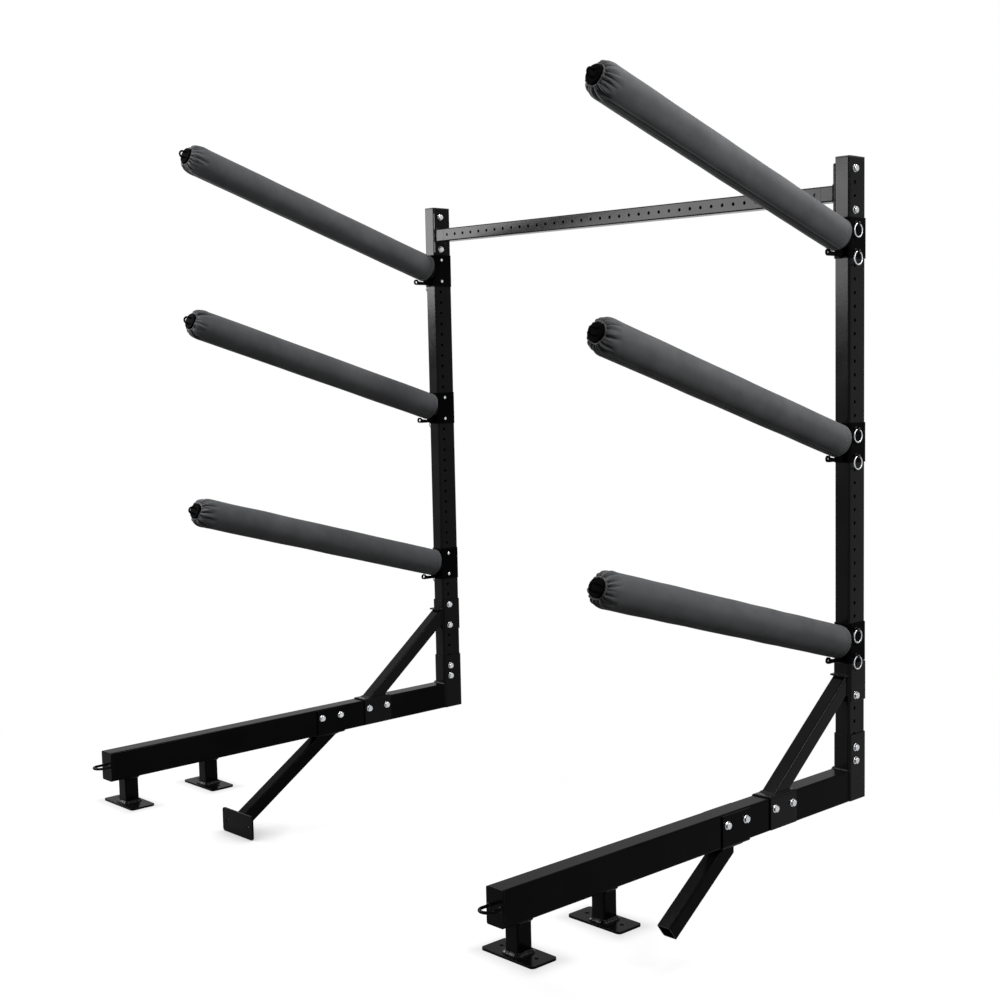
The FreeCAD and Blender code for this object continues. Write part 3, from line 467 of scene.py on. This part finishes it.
def fold_depth(covers, radius, left, turn, plan):
    """How far folds lift the cloth off its profile, at a radius and a distance left to the mouth."""
    crease, puff = np.zeros_like(turn), np.zeros_like(turn)
    crest, narrow, spread = 0.0026, 0.0017, 1.6
    most_puff, most_crease = 1.2, 1.05
    crease_rise, puff_rise, puff_off, puff_wide = 0.8, 0.6, 3, 1.4
    for spot, force, far, lean in zip(*plan):
        grow = max(0.0, 1 - left / far)
        off = (turn - spot - lean * (1 - grow) + np.pi) % (2 * np.pi) - np.pi
        wide = narrow * (1 + spread * (1 - grow))
        aside = np.abs(radius * off)
        crease += force * grow ** crease_rise * np.exp(-aside / wide)
        puff += force * grow ** puff_rise * np.exp(-((aside - puff_off * wide) / (puff_wide * wide)) ** 2)
    return crest * np.minimum(puff, most_puff) - covers.pleat_depth * np.minimum(crease, most_crease)


def slack(along, turn, seed):
    """Slow swells of the cloth over its foam."""
    draw = np.random.default_rng(seed + 100)
    lift, swell, shortest, longest = np.zeros_like(turn), 0.00045, 0.11, 0.34
    for wave in range(2, 7):
        phase, lag = draw.uniform(0, 2 * np.pi, 2)
        run = draw.uniform(shortest, longest)
        lift += swell / wave ** 0.5 * np.sin(wave * turn + phase) * np.sin(2 * np.pi * along / run + lag)
    return lift


def mouth_wander(turn, seed):
    """How far the rim of the mouth strays from a plane."""
    draw = np.random.default_rng(seed + 50)
    stray, wander = 0.0016, np.zeros_like(turn)
    for wave in range(1, 6):
        wander += stray / wave ** 0.5 * np.sin(wave * turn + draw.uniform(0, 2 * np.pi))
    return wander


class RACK_OT_sew_covers(bpy.types.Operator):
    """Sew the gathered cover of each arm"""
    bl_idname = "rack.sew_covers"
    bl_label = "Sew the covers"

    def execute(self, context):
        covers = context.scene.rack.covers
        for seed, name in enumerate(ARMS):
            self.sew(covers, name, seed)
        return {"FINISHED"}

    def sew(self, covers, name, seed):
        """One cover, ring by ring from its root to its mouth and back inside."""
        around = 288
        turn = np.arange(around) * 2 * np.pi / around
        plan = pleat_plan(covers, seed + 3)

        # Inside of the root: the turned-in hem over the end of the foam
        edge, inner, outer = 0.0022, 0.004, 0.003
        rows = [(np.full(around, covers.start + inner), np.full(around, covers.bore)),
                (np.full(around, covers.start + outer), np.full(around, covers.radius - 3 * edge))]
        for step in range(7):
            bend = math.pi * step / 6
            rows.append((np.full(around, covers.start + edge - edge * math.sin(bend)),
                         np.full(around, covers.radius - edge - edge * math.cos(bend))))

        # Outside: hem with its stitches, body with its lengthwise seam, and the drawn-in end
        puckers, pucker_depth, pucker_width = 46, 0.0004, 0.007
        stitch_depth, stitch_width, clear = 0.0030, 0.0026, 0.0006
        seam_turn, seam_high, seam_soft = 0.9 * np.pi, 0.0011, 0.0006
        hem_end = covers.start + covers.hem
        along, radius, left = cover_profile(covers)
        slope = np.unwrap(np.arctan2(np.gradient(radius), np.gradient(along)))
        pucker = np.sin(puckers * turn + 2 * np.sin(3 * turn + seed))
        wander = mouth_wander(turn, seed)
        under = np.abs((turn - seam_turn + np.pi) % (2 * np.pi) - np.pi) * covers.radius
        flap = seam_high / (1 + np.exp((under - covers.seam / 2) / seam_soft))
        for place, reach, gap, lean in zip(along, radius, left, slope):
            dip = math.exp(-((place - hem_end) / stitch_width) ** 2)
            near = math.exp(-((place - hem_end) / pucker_width) ** 2)
            smooth = min(1.0, gap / covers.pleat_reach)
            lift = fold_depth(covers, reach, gap, turn, plan) + slack(place, turn, seed) + flap * smooth
            lift += pucker_depth * near * pucker - stitch_depth * dip
            pull = max(0.0, 1 - gap / covers.pleat_reach) ** 2 * wander
            skin = np.maximum(reach + pull / 2 + lift * math.cos(lean), covers.bore + clear)
            rows.append((place + pull - lift * math.sin(lean), skin))

        # Corded rim of the mouth, lumpy where the folds bunch, and the lining back to the root
        lump, forward, tuck = 0.35, 1.5, 0.006
        bunch = fold_depth(covers, covers.mouth, 0.0, turn, plan) / covers.pleat_depth
        thick = covers.rim * (1 + lump * np.clip(bunch, -1, 1))
        for step in range(1, 13):
            bend = math.pi * step / 12
            skin = covers.mouth + covers.rim + wander / 2 + thick * math.cos(bend)
            front = covers.end + wander + forward * thick * math.sin(bend)
            rows.append((front, np.maximum(skin, covers.bore)))
        for place in (covers.end - tuck, covers.end - covers.gather, covers.end / 2):
            rows.append((np.full(around, place), np.full(around, covers.bore)))

        root, ahead, up = arm_axis(name)
        points = []
        for place, skin in rows:
            for step in range(around):
                out = up * math.cos(turn[step]) + ACROSS * math.sin(turn[step])
                points.append(root + ahead * place[step] + out * skin[step])
        faces = stitch_rings(len(rows), around, True)
        cover = new_piece(f"cover_{name}", points, faces, finish("charcoal_fabric"))

        # Cloth laid flat in metres: along the arm and round it
        laid = cover.data.uv_layers.new(name="cloth")
        for polygon in cover.data.polygons:
            first = polygon.index % around
            for corner in polygon.loop_indices:
                vertex = cover.data.loops[corner].vertex_index
                ring, step = divmod(vertex, around)
                lap = around if step == 0 and first == around - 1 else step
                laid.data[corner].uv = (rows[ring][0][step], lap / around * 2 * math.pi * covers.radius)
        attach(cover, f"arm_{name}")
        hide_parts(f"pad_{name}")


# Bolts and pull rings, in metres
HEAD, NUT, TAIL, SHANK = 0.0064, 0.008, 0.003, 0.005
FIRST_REACH, BOLT_REACH = 0.02, 0.012  # round a bolt's first point, then round its middle
AROUND = 48
TURN = np.arange(AROUND) * 2 * np.pi / AROUND


def loft(parts, middle, axis, sections):
    """A closed shell along an axis, through sections that give a distance and a radius for every angle."""
    first = UP if abs(axis.z) < 0.9 else ACROSS
    second = axis.cross(first)
    points = []
    for distance, radius in sections:
        reach = np.broadcast_to(radius, AROUND)
        for step, bend in enumerate(TURN):
            out = first * math.cos(bend) + second * math.sin(bend)
            points.append(middle + axis * distance + out * reach[step])
    ends = [tuple(range(AROUND)), tuple(range(len(points) - AROUND, len(points)))]
    parts.add(points, stitch_rings(len(sections), AROUND, False) + ends)


def bolt_places(side):
    """Nut face and head face of each through bolt, read from its solid."""
    spots = np.array([vertex.co for vertex in NODES[f"bolts_{side}"].data.vertices])
    places = []
    while len(spots):
        middle, reach = spots[0, 1:], FIRST_REACH
        for _ in range(4):
            near = np.hypot(*(spots[:, 1:] - middle).T) < reach
            middle, reach = (spots[near, 1:].min(0) + spots[near, 1:].max(0)) / 2, BOLT_REACH
        near = np.hypot(*(spots[:, 1:] - middle).T) < reach
        low, high = spots[near, 0].min(), spots[near, 0].max()
        places.append([Vector((x, *middle)) for x in (low + NUT + TAIL, high - HEAD)])
        spots = spots[~near]
    return places


def hex_sections(steel, high, both_ends):
    """Washer and chamfered hexagon."""
    flat, thick, bevel = steel.bolt_flats / 2, steel.washer_thick, 0.0003
    chamfer, slope = 0.97 * flat, 1.73
    hexagon = flat / np.cos(TURN % (np.pi / 3) - np.pi / 6)
    sections = [(0, steel.washer), (thick - bevel, steel.washer), (thick, steel.washer - bevel)]
    steps = (0, 0.0005, 0.001, 0.0016)
    for up in steps if both_ends else (0, bevel):
        sections.append((thick + up, np.minimum(hexagon, chamfer + slope * up)))
    for down in reversed(steps):
        sections.append((thick + high - down, np.minimum(hexagon, chamfer + slope * down)))
    return sections


def thread_sections(start):
    """End of the bolt beyond its nut, with its thread."""
    root, pitch, bevel = 0.88 * SHANK, 0.0015, 0.0006
    ridge = ((0.0002, root), (0.0006, SHANK), (0.0009, SHANK), (0.0014, root))
    sections = [(start, SHANK + 0.0002)]
    for turn in range(round(TAIL / pitch)):
        low = start + turn * pitch
        sections += [(low + up, radius) for up, radius in ridge]
    return sections + [(start + TAIL, root), (start + TAIL + bevel, 0.8 * root)]


class RACK_OT_turn_bolts(bpy.types.Operator):
    """Turn the through bolts with their washers, nuts and threads"""
    bl_idname = "rack.turn_bolts"
    bl_label = "Turn the bolts"

    def execute(self, context):
        steel = context.scene.rack.steel
        for side in SIDES:
            parts = Parts()
            for nut_face, head_face in bolt_places(side):
                loft(parts, head_face, ACROSS, hex_sections(steel, HEAD, False))
                nut = hex_sections(steel, NUT, True)
                loft(parts, nut_face, -ACROSS, nut + thread_sections(nut[-1][0]))
            zinc = finish("zinc_plate")
            bolts = new_piece(f"hex_bolts_{side}", parts.points, parts.faces, zinc, crease=32)
            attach(bolts, "frame")
            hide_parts(f"bolts_{side}")
        return {"FINISHED"}


class RACK_OT_bend_rings(bpy.types.Operator):
    """Bend the pull rings from round wire, each with its butt weld"""
    bl_idname = "rack.bend_rings"
    bl_label = "Bend the pull rings"

    def execute(self, context):
        wire = context.scene.rack.steel.ring_wire / 2
        bends, sides, weld_reach, weld_swell = 72, 14, 0.10, 0.16
        faces = stitch_rings(bends, sides, True)
        for node in [f"ring_{name}_{end}" for name in ARMS for end in PIN_ENDS]:
            low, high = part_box(node)
            middle, radius = (low + high) / 2, (high.z - low.z) / 2 - wire
            points = []
            for step in range(bends):
                bend = 2 * math.pi * step / bends
                out = UP * -math.cos(bend) + WATERWARD * math.sin(bend)
                away = min(bend, 2 * math.pi - bend) / weld_reach
                thick = wire * (1 + weld_swell * math.exp(-away ** 2))
                for k in range(sides):
                    roll = 2 * math.pi * k / sides
                    spot = middle + out * (radius + thick * math.cos(roll))
                    points.append(spot + ACROSS * thick * math.sin(roll))
            ring = new_piece(f"pull_{node}", points, faces, finish("drawn_zinc"))
            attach(ring, node)
            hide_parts(node)
        return {"FINISHED"}


# Welds, and the sizes of the steel that they follow, in metres and degrees
TUBE_CORNER = 0.005
BRACE_HALF, SADDLE_WALL, SADDLE_HALF = 0.0225, 0.004, 0.056
UPPER_SLOPE = 39
LOWER_SLOPES = {"left": 33.9, "right": 36.4}
WELD_OUTLINE = ((-0.2, -0.2), (1.0, -0.1), (0.93, 0.17), (0.68, 0.45), (0.45, 0.68), (0.17, 0.93),
                (-0.1, 1.0))


def rounded_loop(middle, first, second, half_first, half_second, corner, step=0.0015):
    """Points and outward normals round a rectangle with round corners, in the plane of first and second."""
    loop = []
    for quarter, (way, other) in enumerate(((1, 1), (-1, 1), (-1, -1), (1, -1))):
        centre = middle + first * way * (half_first - corner) + second * other * (half_second - corner)
        bends = max(4, round(corner * math.pi / 2 / step))
        for k in range(bends + 1):
            bend = (quarter + k / bends) * math.pi / 2
            normal = first * math.cos(bend) + second * math.sin(bend)
            loop.append((centre + normal * corner, normal))
        spot, normal = loop[-1]
        onward = second * math.cos(bend) - first * math.sin(bend)
        run = 2 * ((half_second if quarter % 2 else half_first) - corner)
        count = max(2, round(run / step))
        loop += [(spot + onward * run * k / count, normal) for k in range(1, count)]
    return loop


def part_of(loop, wanted):
    """The unbroken run of a loop whose points are wanted."""
    flags = [wanted(spot) for spot, normal in loop]
    first = next(k for k, flag in enumerate(flags) if flag and not flags[k - 1])
    return [item for item in loop[first:] + loop[:first] if wanted(item[0])]


def weld(parts, run, rise, leg, closed=True):
    """A rippled fillet along a run of points: out along one face by their normals, up the other by rise."""
    ripple = bpy.context.scene.rack.steel.ripple
    swing, drift, slow = 0.09, 0.05, 0.73
    points, travelled, last = [], 0.0, run[0][0]
    for spot, normal in run:
        travelled += (spot - last).length
        last = spot
        beat = travelled / ripple
        size = leg * (1 + swing * math.sin(2 * math.pi * beat) + drift * math.sin(slow * beat))
        points += [spot + normal * size * out + rise * size * up for out, up in WELD_OUTLINE]
    around = len(WELD_OUTLINE)
    faces = stitch_rings(len(run), around, closed)
    if not closed:
        faces += [tuple(range(around)), tuple(range(len(points) - around, len(points)))]
    parts.add(points, faces)


class RACK_OT_lay_welds(bpy.types.Operator):
    """Lay the welds of the frames and of the arm brackets"""
    bl_idname = "rack.lay_welds"
    bl_label = "Lay the welds"

    def execute(self, context):
        for side in SIDES:
            parts = Parts()
            self.base(parts, context.scene.rack.steel, side)
            self.braces(parts, context.scene.rack.steel, side)
            self.keep(f"frame_welds_{side}", parts, "frame")
        for name in ARMS:
            parts = Parts()
            self.arm(parts, context.scene.rack.steel, name)
            self.keep(f"arm_weld_{name}", parts, f"arm_{name}")
        return {"FINISHED"}

    def keep(self, name, parts, body):
        """Make one piece of the beads laid so far, fixed to its body."""
        bead = new_piece(name, parts.points, parts.faces, finish("black_powder_coat"), crease=60)
        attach(bead, body)

    def base(self, parts, steel, side):
        """Welds of the posts, the beam, its tie eye and the crossbar's bracket."""
        low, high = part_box(f"posts_{side}")
        half, corner = (high.x - low.x) / 2, TUBE_CORNER
        for y in (low.y + half, high.y - half):
            for z, rise, leg in ((low.z, UP, steel.foot_weld_leg), (high.z, -UP, steel.weld_leg)):
                ring = rounded_loop(Vector((low.x + half, y, z)), ACROSS, WATERWARD, half, half, corner)
                weld(parts, ring, rise, leg)

        # Beam to socket, on all sides but the underside
        low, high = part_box(f"base_beam_{side}")
        middle = (low + high) / 2
        ring = rounded_loop(Vector((middle.x, high.y, middle.z)), ACROSS, UP,
                            (high.x - low.x) / 2, (high.z - low.z) / 2, corner)
        run = part_of(ring, lambda spot: spot.z > low.z + corner)
        weld(parts, run, -WATERWARD, steel.weld_leg, closed=False)

        # Both ends of the tie eye
        rod, bend, plate, fine, small = 0.004, 0.020, 0.005, 0.001, 0.6
        for way in (-1, 1):
            spot = Vector((middle.x + way * bend, low.y - plate, middle.z))
            ring = rounded_loop(spot, ACROSS, UP, rod, rod, rod, fine)
            weld(parts, ring, -WATERWARD, small * steel.weld_leg)

        # Crossbar to its flange
        flange, bar_corner = 0.005, 0.004
        low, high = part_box(f"crossbar_bracket_{side}")
        bar_low, bar_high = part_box("crossbar")
        half = (bar_high.z - bar_low.z) / 2
        way = SIDES[side]
        face = (high.x if way > 0 else low.x) - way * flange
        spot = Vector((face, (bar_low.y + bar_high.y) / 2, (bar_low.z + bar_high.z) / 2))
        ring = rounded_loop(spot, WATERWARD, UP, half, half, bar_corner)
        weld(parts, ring, -ACROSS * way, steel.weld_leg)

    def braces(self, parts, steel, side):
        """Welds of the upper and the lower brace."""
        half, corner, leg = BRACE_HALF, TUBE_CORNER, steel.weld_leg
        beam_low, beam_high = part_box(f"base_beam_{side}")

        # Upper brace to the saddle on the beam and to the saddle on the upright, below its lip
        below_lip = 0.02
        low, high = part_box(f"upper_brace_{side}")
        x = (low.x + high.x) / 2
        slope = math.radians(UPPER_SLOPE)
        axis = Vector((0, math.cos(slope), math.sin(slope)))
        start = Vector((x, low.y + SADDLE_HALF, beam_high.z))
        spot = start + axis * SADDLE_WALL / axis.z
        weld(parts, rounded_loop(spot, ACROSS, WATERWARD, half, half / axis.z, corner), axis, leg)
        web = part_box(f"upright_{side}")[0].y - SADDLE_WALL
        spot = start + axis * (web - start.y) / axis.y
        ring = rounded_loop(spot, ACROSS, UP, half, half / axis.y, corner)
        run = part_of(ring, lambda point: point.z < spot.z + below_lip)
        weld(parts, run, -axis, leg, closed=False)

        # Lower brace to the saddle under the beam, and the left one to its side plate
        low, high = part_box(f"lower_brace_{side}")
        slope = math.radians(LOWER_SLOPES[side])
        axis = Vector((0, -math.cos(slope), -math.sin(slope)))
        start = Vector((x, high.y - SADDLE_HALF, beam_low.z))
        spot = start - axis * SADDLE_WALL / axis.z
        weld(parts, rounded_loop(spot, ACROSS, WATERWARD, half, -half / axis.z, corner), axis, leg)
        if side == "left":
            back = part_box("dock_side_plate_left")[1].y
            spot = start + axis * (back - start.y) / axis.y
            weld(parts, rounded_loop(spot, ACROSS, UP, half, -half / axis.y, corner), -axis, leg)

    def arm(self, parts, steel, name):
        """Weld round the tube of an arm, on its bracket."""
        root, ahead, up = arm_axis(name)
        web, radius, bends = 0.0033, 0.02415, 110
        spot = root + ahead * web / -ahead.y
        run = []
        for step in range(bends):
            bend = 2 * math.pi * step / bends
            normal = ACROSS * math.cos(bend) + UP * math.sin(bend)
            edge = spot + ACROSS * radius * math.cos(bend) - UP * radius / ahead.y * math.sin(bend)
            run.append((edge, normal))
        weld(parts, run, ahead, steel.weld_leg)


# Stage
AMBIENT = 0.09  # light from all round, as a share of the white that is shown
FLOOR_GAP = 0.0005


def flat_quad(wide, deep, high):
    """Corners of a level rectangle about the origin, from its half sides."""
    return [(-wide, -deep, high), (wide, -deep, high), (wide, deep, high), (-wide, deep, high)]


class RACK_OT_set_stage(bpy.types.Operator):
    """Set the floor, the lights and the camera"""
    bl_idname = "rack.set_stage"
    bl_label = "Set the stage"

    def execute(self, context):
        self.lay_floor(context)
        self.shade_plates()
        self.light(context)
        self.aim_camera(context)
        context.scene.view_settings.view_transform = "Standard"
        return {"FINISHED"}

    def shown(self, tree):
        """1 for rays that see the backdrop as a picture: straight, in metal or through glass."""
        path = add_node(tree, "ShaderNodeLightPath")
        mirror = add_node(tree, "ShaderNodeMath", {"operation": "MAXIMUM"},
                          {0: path.outputs["Is Glossy Ray"], 1: path.outputs["Is Transmission Ray"]})
        return add_node(tree, "ShaderNodeMath", {"operation": "MAXIMUM"},
                        {0: path.outputs["Is Camera Ray"], 1: mirror.outputs["Value"]}).outputs["Value"]

    def lay_floor(self, context):
        """A wide pale floor just under the lowest piece."""
        colours = context.scene.rack.colours
        low = CAD_BOX[0][2] - FLOOR_GAP
        reach, near, far, even = 40.0, 1.5, 2.9, 0.86
        # Reach, full strength and darkest level of the painted contact shade on the floor
        floor_shade_reach, floor_shade_full, floor_shade_darkest = 0.12, 0.2, 0.35
        middle = Vector((0, 0.5, low))
        material, tree = new_material("pale_studio_floor")
        shown = self.shown(tree)

        # Near the rack the floor takes its light and shadow, with a painted contact shade darkening its
        # white where pieces stand near; it goes over to plain white away from it
        pale = add_node(tree, "ShaderNodeBsdfDiffuse", {}, {"Color": colours.floor})
        bounce = add_node(tree, "ShaderNodeBsdfDiffuse", {}, {"Color": colours.floor_bounce})
        lit = add_node(tree, "ShaderNodeMixShader", {}, {
            0: shown, 1: bounce.outputs["BSDF"], 2: pale.outputs["BSDF"]})
        # Painted contact shade: ambient occlusion darkens the shown white near pieces above the floor
        close = add_node(tree, "ShaderNodeAmbientOcclusion", {"samples": 8}, {"Distance": floor_shade_reach})
        floor_painted_shade = add_node(tree, "ShaderNodeMapRange", {}, {
            "Value": close.outputs["AO"], "From Min": floor_shade_full, "To Min": floor_shade_darkest})
        strength = add_node(tree, "ShaderNodeMapRange", {}, {
            "Value": shown, "To Min": AMBIENT, "To Max": floor_painted_shade.outputs["Result"]})
        white = add_node(tree, "ShaderNodeEmission", {}, {
            "Color": linear("#ffffff"), "Strength": strength.outputs["Result"]})
        shape = add_node(tree, "ShaderNodeNewGeometry")
        away = add_node(tree, "ShaderNodeVectorMath", {"operation": "DISTANCE"},
                        {0: shape.outputs["Position"], 1: middle})
        fade = add_node(tree, "ShaderNodeMapRange", {"interpolation_type": "SMOOTHSTEP"}, {
            "Value": away.outputs["Value"], "From Min": near, "From Max": far, "To Min": even})
        whole = add_node(tree, "ShaderNodeMixShader", {}, {
            0: fade.outputs["Result"], 1: lit.outputs["Shader"], 2: white.outputs["Emission"]})
        add_node(tree, "ShaderNodeOutputMaterial", {}, {"Surface": whole.outputs["Shader"]})
        new_piece("studio_floor", flat_quad(reach, reach, low), [(0, 1, 2, 3)], material)

    def shade_plates(self):
        """Soft contact shade round the plates above the floor, clear so that it hides nothing."""
        reach, darkest = 0.070, 0.72
        low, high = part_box("base_plates_left")
        plate = Vector(((high.x - low.x) / 2, 0.04, 0.0))
        material, tree = new_material("contact_shade")
        place = add_node(tree, "ShaderNodeTexCoord")
        aside = add_node(tree, "ShaderNodeVectorMath", {"operation": "ABSOLUTE"},
                         {0: place.outputs["Object"]})
        beyond = add_node(tree, "ShaderNodeVectorMath", {"operation": "SUBTRACT"},
                          {0: aside.outputs["Vector"], 1: plate})
        outside = add_node(tree, "ShaderNodeVectorMath", {"operation": "MAXIMUM"},
                           {0: beyond.outputs["Vector"]})
        away = add_node(tree, "ShaderNodeVectorMath", {"operation": "LENGTH"},
                        {0: outside.outputs["Vector"]})
        fade = add_node(tree, "ShaderNodeMapRange", {"interpolation_type": "SMOOTHERSTEP"}, {
            "Value": away.outputs["Value"], "From Min": -reach / 2, "From Max": reach, "To Min": darkest})
        clear = add_node(tree, "ShaderNodeBsdfTransparent", {}, {"Color": fade.outputs["Result"]})
        add_node(tree, "ShaderNodeOutputMaterial", {}, {"Surface": clear.outputs["BSDF"]})
        corners = flat_quad(plate.x + reach, plate.y + reach, 0)
        for side in SIDES:
            low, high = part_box(f"base_plates_{side}")
            for spot, y in (("dock", low.y + plate.y), ("water", high.y - plate.y)):
                patch = new_piece(f"floor_patch_{spot}_{side}", corners, [(0, 1, 2, 3)], material)
                patch.location = ((low.x + high.x) / 2, y, low.z - FLOOR_GAP)
                patch.visible_shadow = False
                patch.visible_diffuse = False
                patch.visible_glossy = False

    def light(self, context):
        """White surroundings and four soft lamps."""
        world = bpy.data.worlds.new("studio_white")
        context.scene.world = world
        world.use_nodes = True
        tree = world.node_tree
        tree.nodes.clear()
        strength = add_node(tree, "ShaderNodeMapRange", {}, {
            "Value": self.shown(tree), "To Min": AMBIENT, "To Max": 1.0})
        sky = add_node(tree, "ShaderNodeBackground", {}, {
            "Color": linear("#ffffff"), "Strength": strength.outputs["Result"]})
        add_node(tree, "ShaderNodeOutputWorld", {}, {"Surface": sky.outputs["Background"]})
        # Name, place, target, width and height of each lamp in metres, and its power in watts
        lamps = (
            ("key_softbox", (3.2, 0.8, 2.7), (0.2, 0.6, 1.3), 1.0, 1.0, 74),
            ("top_softbox", (1.2, 2.2, 4.4), (0.2, 0.6, 1.3), 1.0, 1.0, 122),
            ("front_softbox", (-2.8, -1.9, 2.24), (0.0, 1.12, 1.9), 3.4, 1.1, 300),
            ("overhead_strip", (-1.3, -1.2, 3.9), (0.2, 0.4, 0.3), 2.2, 0.5, 60),
        )
        tint = (0.985, 0.98, 1.0)
        for name, spot, target, wide, high, power in lamps:
            lamp = bpy.data.lights.new(name, "AREA")
            lamp.shape = "RECTANGLE"
            lamp.size, lamp.size_y, lamp.energy = wide, high, power
            lamp.color = tint
            holder = bpy.data.objects.new(name, lamp)
            holder.location = spot
            holder.rotation_euler = (Vector(target) - Vector(spot)).to_track_quat("-Z", "Y").to_euler()
            holder.visible_camera = False
            context.scene.collection.objects.link(holder)

    def aim_camera(self, context):
        """A camera at the photograph's viewing angle, focus and frame given in its pixels."""
        spot = Vector((3.4257, -2.4169, 1.3632))
        yaw, pitch, roll = (math.radians(value) for value in (44.793, -5.384, -0.869))
        image, focus, centre = 1000, 1522.12, (593.23, 502.32)
        ahead = Vector((-math.sin(yaw) * math.cos(pitch), math.cos(yaw) * math.cos(pitch), math.sin(pitch)))
        flat = Vector((math.cos(yaw), math.sin(yaw), 0))
        above = flat.cross(ahead)
        right = flat * math.cos(roll) + above * math.sin(roll)
        above = above * math.cos(roll) - flat * math.sin(roll)
        lens = bpy.data.cameras.new("photo_camera")
        lens.sensor_width = 36
        lens.lens = focus * lens.sensor_width / image
        lens.shift_x = (image / 2 - centre[0]) / image
        lens.shift_y = (centre[1] - image / 2) / image
        camera = bpy.data.objects.new("photo_camera", lens)
        axes = Matrix((right, above, -ahead)).transposed().to_4x4()
        camera.matrix_world = Matrix.Translation(spot) @ axes
        context.scene.collection.objects.link(camera)
        context.scene.camera = camera


class RACK_PT_finish(bpy.types.Panel):
    """Steps that dress the rack, in order"""
    bl_idname = "RACK_PT_finish"
    bl_label = "Dock kayak rack"
    bl_space_type = "VIEW_3D"
    bl_region_type = "UI"
    bl_category = "Kayak rack"

    def draw(self, context):
        for step in STEPS:
            self.layout.operator(step.bl_idname)
        for group in ("covers", "steel", "colours"):
            box = self.layout.box()
            settings = getattr(context.scene.rack, group)
            for name in settings.__annotations__:
                box.prop(settings, name)


STEPS = (RACK_OT_finish_steel, RACK_OT_sew_covers, RACK_OT_turn_bolts, RACK_OT_bend_rings,
         RACK_OT_lay_welds, RACK_OT_set_stage)
CLASSES = (RackCoverSettings, RackSteelSettings, RackColourSettings, RackSettings, *STEPS, RACK_PT_finish)


def register():
    """Add the settings, the steps and the panel."""
    for item in CLASSES:
        bpy.utils.register_class(item)
    bpy.types.Scene.rack = bpy.props.PointerProperty(type=RackSettings)


def unregister():
    """Take them away again."""
    del bpy.types.Scene.rack
    for item in reversed(CLASSES):
        bpy.utils.unregister_class(item)


def main():
    """Dress the rack."""
    register()
    bpy.ops.rack.finish_steel()
    bpy.ops.rack.sew_covers()
    bpy.ops.rack.turn_bolts()
    bpy.ops.rack.bend_rings()
    bpy.ops.rack.lay_welds()
    bpy.ops.rack.set_stage()


if __name__ == "__main__":
    main()
